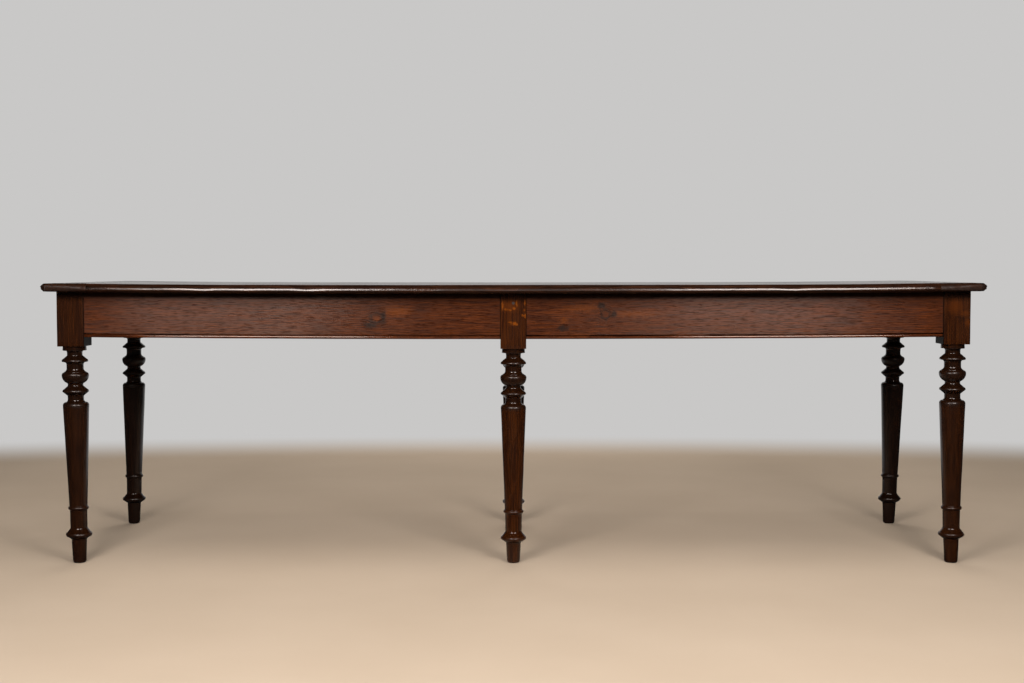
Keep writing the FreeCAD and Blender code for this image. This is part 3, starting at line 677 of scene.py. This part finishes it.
def model_apron(length, thickness, height):
    """One apron along X, with its back on Y = 0 and its face towards -Y, standing on Z = 0."""
    end = length / 2 + JOINT_BITE
    apron = add_box("apron_model", (-end, -thickness, 0), (end, 0, height))
    face_foot = BEAD_HEIGHT + QUIRK_HEIGHT
    shade_foot = height - OVERHANG_SHADE
    cut_across(2, (BEAD_HEIGHT, face_foot, face_foot + RUBBED_EDGE, height * 0.3, height * 0.6))
    cut_across(2, (shade_foot - SHADE_STEP, shade_foot))

    def in_quirk(co):
        return near(co.y, -thickness) and BEAD_HEIGHT - MM / 20 < co.z < face_foot + MM / 20

    pick("FACE", lambda corners: all(map(in_quirk, corners)))
    bpy.ops.mesh.extrude_region_move(TRANSFORM_OT_translate={"value": (0, QUIRK_DEPTH, 0)})
    for z in (0, BEAD_HEIGHT):
        round_edge(lambda co: near(co.y, -thickness) and near(co.z, z), BEAD_ROUND, BEAD_STEPS)
    divide_along(0, length, APRON_STEP)
    cut_across(0, (JOINT_GRIME - end, end - JOINT_GRIME))
    ease(apron, APRON_ARRIS)

    # Painted shade under the overhang, and dirt in the joints at both ends
    def apron_shade_and_joint_dirt(co):
        return max(under_overhang(co, height), clamped((abs(co.x) - end) / JOINT_GRIME + 1))

    mark(apron, "grime_and_shade", apron_shade_and_joint_dirt)
    mark(apron, "polish", lambda co: float(co.z < BEAD_HEIGHT + MM / 20))
    return apron


def knot_shift(tree):
    """Bends the grain of the front aprons away above and below each knot."""
    here = add(tree, "TexCoord", output="Object")
    lift = 0.0
    for x, z, half_x, half_z in KNOTS:
        away = reach(tree, here, (x, z, KNOT_REACH * half_x, KNOT_REACH * half_z))
        gap = add(tree, "VectorMath", [away], operation="LENGTH")
        most = -KNOT_BEND * half_z * MM
        pull = add(tree, "MapRange", [gap, 1.0, 0.1, 0.0, most], **SMOOTH)
        height = add(tree, "SeparateXYZ", [away], "Z")
        lift = add(tree, "Math", [pull, height, lift], operation="MULTIPLY_ADD")
    return add(tree, "CombineXYZ", {"Y": lift})


def apron_oak():
    """Oak, planed, stained red-brown and waxed, with its pores open.

    The eye gets fine level streaks, dark in the pores, a few ringed knots with orange wood beside them, a
    grey sheen that the grain draws out upright, and a bright line along the bead, polished by hands.
    """
    finish, tree, shader = new_finish("planed_oak_brown_wax")
    figure = oak_figure(tree, 3.8 * MM, 2.6 * MM, 1.2 * MM, 8 * MM, knot_shift(tree))
    tones = linear("#321408"), linear("#603012")
    colour, depth = grained(tree, figure, tones, linear("#2A1207"), 0.45, linear("#170A05"), 0.65)
    flared = tinted(tree, colour, linear("#70390A"), spots(tree, FLARES, 0.8, 8), 0.5)
    cores = [(x, z, half_x * KNOT_CORE_SHARE, half_z * KNOT_CORE_SHARE) for x, z, half_x, half_z in KNOTS]
    rim = add(tree, "Math", [spots(tree, KNOTS, 0.35, 6), spots(tree, cores, 0.4, 6)], operation="SUBTRACT")
    shaded = add(tree, "Math", [rim, spots(tree, SMUDGES, 0.6, 7)], operation="MAXIMUM")
    knotted = tinted(tree, flared, linear("#1F1613"), shaded, 0.95)
    # The near-black tone is painted shade under the top and, with some old dirt, in hollows such as the
    # quirk; at the ends it is dirt in the joints
    old, gloss = weathered(tree, knotted, linear("#5A3018"), 0.35, linear("#080402"))
    polish = add(tree, "Attribute", output="Fac", attribute_name="polish")
    filled = add(tree, "MapRange", [depth, 0.15, 0.6, 0.75, 0.19])
    lustre = add(tree, "MapRange", [polish, 0.0, 1.0, filled, 1.0])
    sheen = add(tree, "Math", [lustre, gloss], operation="MULTIPLY")
    waxed = add(tree, "Mix", [sheen, linear("#000000"), linear("#FFEADD")], **COLOURS)
    dull = add(tree, "MapRange", [figure["clouds"], 0.3, 0.7, 0.27, 0.34])
    polished = add(tree, "MapRange", [polish, 0.0, 1.0, dull, 0.12])
    open_grain = add(tree, "MapRange", [polish, 0.0, 1.0, depth, 0.5])
    bump = add(tree, "Bump", {"Height": open_grain, "Strength": 0.2, "Distance": GRAIN_DEPTH}, invert=True)
    plug(shader, {
        "Base Color": old,
        "Specular Tint": waxed,
        "Specular IOR Level": 0.8,
        "Roughness": roughened(tree, gloss, polished),
        "Anisotropic": 0.9,
        "Tangent": add(tree, "CombineXYZ", UPRIGHT),
        "Normal": bump,
    })
    return finish


def hang_apron(model, node, place, turn_angle, along, heart_side):
    """A copy of a modelled apron in the place of a node, with the wander and grain of a board of its own."""
    turned = Matrix.Rotation(math.radians(turn_angle), 4, "Z")
    apron = copy_of(model, node + "_board", Matrix.Translation(place) @ turned)
    wander(apron, *APRON_WANDER, rng.random())
    heart = place[2] - rng.uniform(*APRON_HEART_BELOW), heart_side
    lay_grain(apron, along, (0, 0, 1), heart, rng.uniform(0, TRUNK_LENGTH))
    return apron


waxed_apron = apron_oak()
long_low, long_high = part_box("apron_front_left")
corner_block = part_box("leg_front_left")[1].x
middle_block = -MIDDLE_BLOCK / 2
apron_height = long_high.z - long_low.z
apron_thickness = long_high.y - long_low.y
long_apron = model_apron(middle_block - corner_block, apron_thickness, apron_height)
for row, turn_angle in (("front", 0), ("rear", 180)):
    for end, side in (("left", -1), ("right", 1)):
        node = f"apron_{row}_{end}"
        low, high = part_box(node)
        back = high.y if row == "front" else low.y
        place = side * abs(corner_block + middle_block) / 2, back, low.z
        apron = hang_apron(long_apron, node, place, turn_angle, (1, 0, 0), -back - APRON_HEART_BEHIND)
        sag(apron)
        seat(apron, node, waxed_apron)
bpy.data.objects.remove(long_apron)
end_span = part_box("leg_rear_left")[0].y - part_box("leg_front_left")[1].y
end_apron = model_apron(end_span, apron_thickness, apron_height)
for end, turn_angle in (("left", -90), ("right", 90)):
    node = f"apron_end_{end}"
    low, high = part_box(node)
    back = high.x if end == "left" else low.x
    place = back, 0, low.z
    apron = hang_apron(end_apron, node, place, turn_angle, (0, 1, 0), back + APRON_HEART_BEHIND)
    seat(apron, node, waxed_apron)
bpy.data.objects.remove(end_apron)

# Pegs of the middle legs
# Two riven oak pegs through each middle block lock the stacked tenons of the aprons.
# They are driven home and cut off flush, so that only stained end grain shows.
PEG_ARRIS = 0.6 * MM
PEG_LENGTH = 28.5 * MM
PEG_HEART_SIDE = 4 * MM
PEG_HEART_BELOW = 10 * MM


def model_peg(radius, length):
    """One peg up the Z axis from the origin, with the arris of its cut end rubbed round."""
    return turn("peg_model", [(radius - PEG_ARRIS, length), (radius, length - PEG_ARRIS), (radius, 0)])


def gather(pieces, name):
    """Joins separate pieces into one object."""
    take(*pieces)
    bpy.ops.object.join()
    pieces[0].name = name
    return pieces[0]


def peg_oak():
    """Oak, riven, stained with the piece that it is driven into.

    The eye gets a small dark disc of end grain, with arcs of rings and a dirty rim.
    """
    finish, tree, shader = new_finish("riven_oak_end_grain")
    figure = oak_figure(tree, 1.6 * MM, 2.0 * MM, 0.8 * MM, 10 * MM)
    tones = linear("#1C120E"), linear("#34231C")
    colour, depth = grained(tree, figure, tones, linear("#170E0A"), 0.5, linear("#0E0806"), 0.5)
    bared = tinted(tree, colour, linear("#8A4C0C"), spots(tree, WORN_THROUGH, 0.5, 2.5), 0.8)
    plug(shader, {
        "Base Color": weathered(tree, bared, linear("#120A05"), 0.6, linear("#0B0604"))[0],
        "Roughness": add(tree, "MapRange", [figure["streaks"], 0.0, 1.0, 0.3, 0.5]),
        "Normal": add(tree, "Bump", {"Height": depth, "Strength": 0.4, "Distance": GRAIN_DEPTH}, invert=True),
    })
    return finish


end_grain = peg_oak()
low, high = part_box("middle_leg_pegs")
peg_radius = (high.x - low.x) / 2
peg = model_peg(peg_radius, PEG_LENGTH)
pegs = []
for row_y, turn_angle in ((low.y, 90), (high.y, -90)):
    for z in (low.z + peg_radius, high.z - peg_radius):
        tail = row_y + math.copysign(PEG_LENGTH, -row_y)
        place = Matrix.Translation((0, tail, z)) @ Matrix.Rotation(math.radians(turn_angle), 4, "X")
        pegs.append(copy_of(peg, "peg", place))
bpy.data.objects.remove(peg)
leg_pegs = gather(pegs, "middle_leg_pegs_cut")
lay_grain(leg_pegs, (0, 1, 0), (1, 0, 0), (PEG_HEART_SIDE, low.z - PEG_HEART_BELOW), 300 * MM)
seat(leg_pegs, "middle_leg_pegs", end_grain)

# Rail and bearers
# A rail ties the middle legs together, and a bearer crosses each bay under the boards and keeps the top flat.
# Both are oak left bare from the saw and plane, because nobody sees them.
INNER_ARRIS = 0.8 * MM
INNER_HEART_ABOVE = (-20 * MM, 80 * MM)
INNER_HEART_SIDE = 50 * MM
SAWN_DEPTH = 0.5 * MM


def eased_copy(node, arris):
    """A copy of a plain solid of the frame with its arrises taken off."""
    piece = copy_of(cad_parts[node], node + "_eased", Matrix())
    take(piece)
    bpy.ops.object.mode_set(mode="EDIT")
    bpy.ops.mesh.select_mode(type="VERT")
    bpy.ops.mesh.select_all(action="SELECT")
    bpy.ops.mesh.remove_doubles(threshold=MM / 50)
    bpy.ops.mesh.dissolve_limited(angle_limit=math.radians(3))
    ease(piece, arris)
    return piece


def inner_oak():
    """Oak, sawn and planed, never stained.

    The eye gets dry grey-brown wood with open pores, darker clouds of dust and old hand marks, and no gloss.
    """
    finish, tree, shader = new_finish("bare_oak")
    figure = oak_figure(tree, 4.0 * MM, 4.0 * MM, 1.5 * MM, 20 * MM)
    tones = linear("#5A4029"), linear("#80603F")
    colour, depth = grained(tree, figure, tones, linear("#4A3320"), 0.4, linear("#2E2015"), 0.6)
    dust = add(tree, "MapRange", [figure["clouds"], 0.4, 0.75, 0.0, 0.6])
    dusty = add(tree, "Mix", [dust, colour, linear("#4B3C2E")], **COLOURS)
    plug(shader, {
        # The dark tone in the corners is painted shade with some old dirt
        "Base Color": weathered(tree, dusty, linear("#8A6C4C"), 0.5, linear("#2A2019"))[0],
        "Roughness": add(tree, "MapRange", [figure["streaks"], 0.0, 1.0, 0.6, 0.85]),
        "Normal": add(tree, "Bump", {"Height": depth, "Strength": 0.5, "Distance": SAWN_DEPTH}, invert=True),
    })
    return finish


bare_oak = inner_oak()
for node in ("cross_rail_middle", "bearer_left", "bearer_right"):
    rail = eased_copy(node, INNER_ARRIS)
    low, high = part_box(node)
    heart = low.z + rng.uniform(*INNER_HEART_ABOVE), low.x - INNER_HEART_SIDE
    lay_grain(rail, (0, 1, 0), (0, 0, 1), heart, rng.uniform(0, TRUNK_LENGTH))
    sag(rail)
    seat(rail, node, bare_oak)

# Top boards
# Four oak planks, tongued together edge to edge, and flat-sawn so that long tongues of grain show on them.
# The outer two carry the nosing. Use has dented and polished it.
NOSING_UPPER, UPPER_STEPS = 16.0 * MM, 8
NOSING_LOWER, LOWER_STEPS = 6.5 * MM, 4
BOARD_STEP = 8.0 * MM
BOARD_STRIPS = 5
BOARD_WANDER = (0.4 * MM, 160 * MM)
BOARD_HEART_SIDE = (-50 * MM, 50 * MM)
TOP_HEART_BELOW = (30 * MM, 80 * MM)
BOARD_ARRIS = 0.5 * MM
FLAT_MARGIN = 2.5 * MM
NOSING_SHADE = 6.5 * MM
NOSING_DENTS = 60
DENT_SIZE = (5 * MM, 16 * MM)
DENT_DEPTH = (0.3 * MM, 1.2 * MM)
DENT_DROP = (4 * MM, 14 * MM)
KNOCK_SIZE = 14 * MM
KNOCK_DEPTH = 1.5 * MM
# How far the stain of each plank has paled, from front to rear
BOARD_PALENESS = (0.0, 0.7, 0.15, 0.45)


def model_board(node, x_ends, y_edges, nosed):
    """One plank between its joints. Nosed is the y of the edge with the nosing, or None."""
    board = add_box(node + "_plank", (x_ends[0], y_edges[0], underside), (x_ends[1], y_edges[1], top_face))
    if nosed is not None:
        for z, radius, segments in nosing_rounds:
            round_edge(lambda co: near(co.y, nosed) and near(co.z, z), radius, segments)
    margins = [FLAT_MARGIN + (NOSING_UPPER if y == nosed else 0.0) for y in y_edges]
    flat_low, flat_high = y_edges[0] + margins[0], y_edges[1] - margins[1]
    cut_across(1, [flat_low + (flat_high - flat_low) * i / BOARD_STRIPS for i in range(BOARD_STRIPS + 1)])
    divide_along(0, x_ends[1] - x_ends[0], BOARD_STEP)
    ease(board, BOARD_ARRIS)
    return board


def joint_dirt(co, y_edges, nosed):
    """One where a plank meets the next, falling to zero on the flat."""
    gap = min(abs(co.y - y) for y in y_edges if y != nosed)
    return max(0.0, 1 - gap / FLAT_MARGIN)


def is_raw(co):
    """One on the flat of the underside, which was never stained."""
    return float(near(co.z, underside))


def under_nosing(co):
    """Painted shade low on the nosing, falling to zero a little higher up."""
    return (1 - is_raw(co)) * clamped((underside + NOSING_SHADE - co.z) / NOSING_SHADE)


def on_nosing(co):
    """One where arms and clothes polish the nosing, below the flat of the top."""
    return clamped((top_face - co.z) / MM - 0.5)


def dent(piece, place):
    """Pushes the surface in at one place, by a size and a depth that are drawn."""
    middle, size, depth = Vector(place), rng.uniform(*DENT_SIZE), rng.uniform(*DENT_DEPTH)
    for v in piece.data.vertices:
        gap = (v.co - middle).length / size
        if gap < 1:
            v.co -= v.normal * depth * (1 - gap * gap) ** 2


def top_oak():
    """Oak, planed, stained dark brown, waxed and rubbed by use.

    The eye gets long brown tongues of grain, darker clouds of old polish, pale rubbed edges and end grain at
    the ends of the cleats, under a gloss that small knocks break. The underside is bare.
    """
    finish, tree, shader = new_finish("planked_oak_dark_wax")
    figure = oak_figure(tree, 6.0 * MM, 4.5 * MM, 1.6 * MM, 30 * MM)
    tones = linear("#1E1009"), linear("#3C2213")
    colour, depth = grained(tree, figure, tones, linear("#1B0E08"), 0.5, linear("#100804"), 0.5)
    old_polish = add(tree, "MapRange", [figure["clouds"], 0.45, 0.75, 0.0, 0.6])
    clouded = add(tree, "Mix", [old_polish, colour, linear("#1D100A")], **COLOURS)
    names = "paleness", "raw", "dry", "polish"
    paleness, raw, dry, polish = [add(tree, "Attribute", output="Fac", attribute_name=name) for name in names]
    paled = tinted(tree, clouded, linear("#523320"), paleness, 0.3)
    # The near-black tone is painted shade low on the nosing and, with some old dirt, in hollows such as
    # dents; along the plank joints it is dirt
    old, gloss = weathered(tree, paled, linear("#4E3120"), 0.3, linear("#060302"))
    sawn = streaked(tree, figure, (linear("#3E2C1C"), linear("#66492F")))
    here = add(tree, "TexCoord", output="Object")
    knocks = add(tree, "TexNoise", [here, 1 / KNOCK_SIZE, 2.0])
    mottle = add(tree, "MapRange", [knocks, 0.4, 0.6, 0.95, 0.4], **SMOOTH)
    dry_end = add(tree, "Math", [dry, mottle], operation="MULTIPLY")
    dryness = add(tree, "Math", [dry_end, raw], operation="MAXIMUM")
    dull = add(tree, "MapRange", [figure["clouds"], 0.3, 0.7, 0.16, 0.24])
    polished = add(tree, "MapRange", [polish, 0.0, 1.0, dull, 0.19])
    dried = add(tree, "MapRange", [dryness, 0.0, 1.0, polished, 0.5])
    uneven = add(tree, "Bump", {"Height": knocks, "Strength": 0.15, "Distance": KNOCK_DEPTH})
    open_grain = {"Height": depth, "Strength": 0.12, "Distance": GRAIN_DEPTH, "Normal": uneven}
    plug(shader, {
        "Base Color": add(tree, "Mix", [raw, old, sawn], **COLOURS),
        "Specular Tint": add(tree, "MapRange", [dryness, 0.0, 1.0, gloss, DULL_GLOSS]),
        "Specular IOR Level": 0.6,
        "Roughness": roughened(tree, gloss, dried),
        "Normal": add(tree, "Bump", open_grain, invert=True),
    })
    return finish


waxed_top = top_oak()
top_face = cad_high.z
nosing_rounds = (top_face, NOSING_UPPER, UPPER_STEPS), (underside, NOSING_LOWER, LOWER_STEPS)
x_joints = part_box("top_cleat_left")[1].x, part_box("top_cleat_right")[0].x
board_names = ("front", "second", "third", "rear")
board_width = (cad_high.y - cad_low.y) / len(board_names)
for i, name in enumerate(board_names):
    node = "top_board_" + name
    y_edges = cad_low.y + i * board_width, cad_low.y + (i + 1) * board_width
    nosed = {"front": y_edges[0], "rear": y_edges[1]}.get(name)
    board = model_board(node, x_joints, y_edges, nosed)
    mark(board, "raw", is_raw)
    wander(board, *BOARD_WANDER, rng.random())
    if nosed is not None:
        for k in range(NOSING_DENTS):
            dent(board, (rng.uniform(*x_joints), nosed, top_face - rng.uniform(*DENT_DROP)))
    heart = sum(y_edges) / 2 + rng.uniform(*BOARD_HEART_SIDE), underside - rng.uniform(*TOP_HEART_BELOW)
    lay_grain(board, (1, 0, 0), (0, 1, 0), heart, rng.uniform(0, TRUNK_LENGTH))
    # Painted shade low on the nosing, and dirt in the joints between the planks
    mark(board, "grime_and_shade", lambda co: max(under_nosing(co), joint_dirt(co, y_edges, nosed)))
    mark(board, "paleness", lambda co: BOARD_PALENESS[i])
    mark(board, "polish", on_nosing)
    sag(board)
    seat(board, node, waxed_top)

# Cleats
# A plank across each end of the top keeps the boards flat. It is oak like them, grooved over their tongues
# and tenons, and its ends show end grain in the nosing, front and rear.
CLEAT_CORNER, CORNER_STEPS = 18.0 * MM, 6
CLEAT_WANDER = (0.4 * MM, 120 * MM)
CLEAT_HEART_SIDE = (-30 * MM, 30 * MM)


def model_cleat(node, inner, outer):
    """One cleat between its joint with the boards and the end of the table."""
    low_x, high_x = min(inner, outer), max(inner, outer)
    cleat = add_box(node + "_plank", (low_x, cad_low.y, underside), (high_x, cad_high.y, top_face))
    round_edge(lambda co: near(co.x, outer) and near(abs(co.y), cad_high.y), CLEAT_CORNER, CORNER_STEPS)
    for z, radius, segments in nosing_rounds:

        def on_rim(ends):
            return all(near(co.z, z) for co in ends) and not all(near(co.x, inner) for co in ends)

        pick("EDGE", on_rim)
        bpy.ops.mesh.bevel(offset=radius, segments=segments, affect="EDGES")
    outward = math.copysign(1, outer - inner)
    cut_across(0, [inner + outward * FLAT_MARGIN, outer - outward * (NOSING_UPPER + FLAT_MARGIN)])
    divide_along(1, cad_high.y - cad_low.y, BOARD_STEP)
    ease(cleat, BOARD_ARRIS)
    return cleat


for end, inner, outer in (("left", x_joints[0], cad_low.x), ("right", x_joints[1], cad_high.x)):
    node = "top_cleat_" + end
    cleat = model_cleat(node, inner, outer)
    mark(cleat, "raw", is_raw)
    wander(cleat, *CLEAT_WANDER, rng.random())
    for k in range(NOSING_DENTS // 2):
        dent(cleat, (outer, rng.uniform(cad_low.y, cad_high.y), top_face - rng.uniform(*DENT_DROP)))
    heart = -(inner + outer) / 2 + rng.uniform(*CLEAT_HEART_SIDE), underside - rng.uniform(*TOP_HEART_BELOW)
    lay_grain(cleat, (0, 1, 0), (-1, 0, 0), heart, rng.uniform(0, TRUNK_LENGTH))
    # Painted shade low on the nosing
    mark(cleat, "grime_and_shade", under_nosing)
    mark(cleat, "dry", lambda co: float(abs(co.y) > cad_high.y - NOSING_UPPER - MM))
    mark(cleat, "polish", on_nosing)
    sag(cleat)
    seat(cleat, node, waxed_top)

# Pegs of the cleats
# One oak peg down through each board's tenon holds the cleat on. Its end grain shows in the top.
CLEAT_PEG_HEART = (4 * MM, 6 * MM)

cleat_peg_low, cleat_peg_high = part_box("cleat_pegs")
board_middles = [cad_low.y + (i + 0.5) * board_width for i in range(len(board_names))]
cleat_peg_radius = board_middles[0] - cleat_peg_low.y
peg = model_peg(cleat_peg_radius, top_face - underside)
pegs = []
for x in (cleat_peg_low.x + cleat_peg_radius, cleat_peg_high.x - cleat_peg_radius):
    for y in board_middles:
        pegs.append(copy_of(peg, "peg", Matrix.Translation((x, y, underside))))
bpy.data.objects.remove(peg)
top_pegs = gather(pegs, "cleat_pegs_cut")
lay_grain(top_pegs, (0, 0, 1), (1, 0, 0), CLEAT_PEG_HEART, 700 * MM)
sag(top_pegs)
seat(top_pegs, "cleat_pegs", end_grain)

# Buttons and screws
# Wooden buttons hold the top down: each has a lip in the groove of an apron, and a slotted iron screw up into
# the boards. More screws hold the boards to the bearers.
BUTTON_ARRIS = 1.2 * MM
BUTTON_HEART = (300 * MM, 200 * MM)
SCREW_ARRIS = 0.25 * MM
RUST_SIZE = 3 * MM
RUST_DEPTH = 0.2 * MM


def screw_iron():
    """Iron, turned and slotted by hand, left to rust under the table.

    The eye gets dull dark grey metal with brown rust in patches, rough where it has rusted.
    """
    finish, tree, shader = new_finish("dull_iron")
    here = add(tree, "TexCoord", output="Object")
    bloom = add(tree, "TexNoise", [here, 1 / RUST_SIZE, 4.0])
    rust = add(tree, "MapRange", [bloom, 0.48, 0.62], **SMOOTH)
    plug(shader, {
        "Base Color": add(tree, "Mix", [rust, linear("#4A4845"), linear("#4A2A18")], **COLOURS),
        "Metallic": add(tree, "MapRange", [rust, 0.0, 1.0, 0.9, 0.1]),
        "Roughness": add(tree, "MapRange", [rust, 0.0, 1.0, 0.45, 0.85]),
        "Normal": add(tree, "Bump", {"Height": bloom, "Strength": 0.4, "Distance": RUST_DEPTH}),
    })
    return finish


buttons = eased_copy("top_buttons", BUTTON_ARRIS)
lay_grain(buttons, (0, 1, 0), (1, 0, 0), BUTTON_HEART, rng.uniform(0, TRUNK_LENGTH))
sag(buttons)
seat(buttons, "top_buttons", bare_oak)
rusty_iron = screw_iron()
for node in ("button_screws", "bearer_screws"):
    screws = eased_copy(node, SCREW_ARRIS)
    sag(screws)
    seat(screws, node, rusty_iron)

# Floor, lights and camera
# A plain pale floor that fades into a pale background, two soft boxes on either side of the camera with a dim
# reflector between them, a wide soft light overhead and a faint one behind.
FLOOR_SIZE = 400.0
FLOOR_OVAL = (0.45, 1.0, 1.0)
FLOOR_FADE = (1.9, 2.7)
GLOSS_FADE_SHIFT = 2.0
SPECKLES_PER_METRE = 2.2
BACKGROUND = "#C9C8C7"
ROOM_LIGHT = 0.08
LENS = 50.0
SENSOR_WIDTH = 36.0
EYE_PLACE = (0.0042, -4.1705, 0.8033)
EYE_TURN = (math.pi / 2 - 0.05096, 0.0005, 0.0020)


def background_rays(tree):
    """One for the rays that show the background itself: to the eye, in a gloss, or through glass."""
    shown = add(tree, "LightPath", output="Is Camera Ray")
    for kind in ("Is Glossy Ray", "Is Transmission Ray"):
        shown = add(tree, "Math", [shown, add(tree, "LightPath", output=kind)], operation="MAXIMUM")
    return shown


def background_level(tree, heading):
    """How bright the background is: full to the eye, and in a gloss only low down behind the table."""
    back = add(tree, "SeparateXYZ", [heading], "Y")
    behind = add(tree, "MapRange", [back, 0.82, 0.95, 0.04, 1.0], **SMOOTH)
    up = add(tree, "SeparateXYZ", [heading], "Z")
    low = add(tree, "MapRange", [up, 0.3, 0.7, 1.0, 0.08], **SMOOTH)
    seen = add(tree, "Math", [behind, low], operation="MULTIPLY")
    return add(tree, "Math", [add(tree, "LightPath", output="Is Camera Ray"), seen], operation="MAXIMUM")


bpy.ops.mesh.primitive_plane_add(size=FLOOR_SIZE, location=(0, 0, 0))
floor = bpy.context.object
floor.name = "floor"
floor_paint, tree, shader = new_finish("pale_floor")
place = add(tree, "TexCoord", output="Object")
speckle = add(tree, "TexNoise", [place, SPECKLES_PER_METRE, 6.0])
tone = add(tree, "Mix", [speckle, linear("#C0B39E"), linear("#CDC1AD")], **COLOURS)
plug(shader, {"Base Color": tone, "Roughness": 0.85})
oval = add(tree, "VectorMath", [place, FLOOR_OVAL], operation="MULTIPLY")
distance = add(tree, "VectorMath", [oval], operation="LENGTH")
in_gloss = add(tree, "LightPath", output="Is Glossy Ray")
sight = add(tree, "Math", [in_gloss, GLOSS_FADE_SHIFT, distance], operation="MULTIPLY_ADD")
far = add(tree, "MapRange", [sight, *FLOOR_FADE], **SMOOTH)
far_shown = add(tree, "Math", [far, background_rays(tree)], operation="MULTIPLY")
heading = add(tree, "VectorMath", [place], operation="NORMALIZE")
haze = add(tree, "Emission", {"Color": linear(BACKGROUND), "Strength": background_level(tree, heading)})
faded = add(tree, "MixShader", [far_shown, shader.outputs[0], haze])
plug(tree.nodes["Material Output"], {"Surface": faded})
floor.data.materials.append(floor_paint)

world = bpy.data.worlds.new("studio")
bpy.context.scene.world = world
world.use_nodes = True
tree = world.node_tree
heading = add(tree, "TexCoord", output="Generated")
pale = add(tree, "Background", {"Color": linear(BACKGROUND), "Strength": background_level(tree, heading)})
room = tree.nodes["Background"]
plug(room, {"Color": linear("#FFFFFF"), "Strength": ROOM_LIGHT})
mixed = add(tree, "MixShader", [background_rays(tree), room.outputs[0], pale])
plug(tree.nodes["World Output"], {"Surface": mixed})


def soft_box(name, place, target, width, height, watts):
    """A soft area light that faces its target."""
    lamp = bpy.data.lights.new(name, "AREA")
    lamp.shape = "RECTANGLE"
    lamp.size, lamp.size_y, lamp.energy = width, height, watts
    lamp.color = linear("#FFF1EA")[:3]
    box = bpy.data.objects.new(name, lamp)
    bpy.context.scene.collection.objects.link(box)
    box.location = place
    box.rotation_euler = (Vector(target) - Vector(place)).to_track_quat("-Z", "Y").to_euler()
    box.visible_camera = False
    return box


soft_box("soft_box_left", (-1.17, -3.0, 1.95), (-0.4, -0.3, 0.5), width=1.0, height=0.9, watts=60)
soft_box("soft_box_right", (1.28, -3.0, 1.95), (0.4, -0.3, 0.5), width=1.0, height=0.9, watts=60)
soft_box("reflector", (0, -3.3, 1.6), (0, -0.3, 0.6), width=1.8, height=0.5, watts=4)
overhead = soft_box("overhead", (0, -0.9, 3.2), (0, -0.6, 0), width=3.0, height=2.0, watts=42)
rear_fill = soft_box("rear_fill", (0, 3.4, 2.2), (0, 0.3, 0.4), width=3.0, height=1.5, watts=60)
for lamp in (overhead, rear_fill):
    lamp.visible_glossy = False

eye = bpy.data.objects.new("camera", bpy.data.cameras.new("camera"))
bpy.context.scene.collection.objects.link(eye)
eye.data.lens, eye.data.sensor_width = LENS, SENSOR_WIDTH
eye.location, eye.rotation_euler = EYE_PLACE, EYE_TURN
bpy.context.scene.camera = eye
bpy.context.scene.view_settings.view_transform = "Standard"
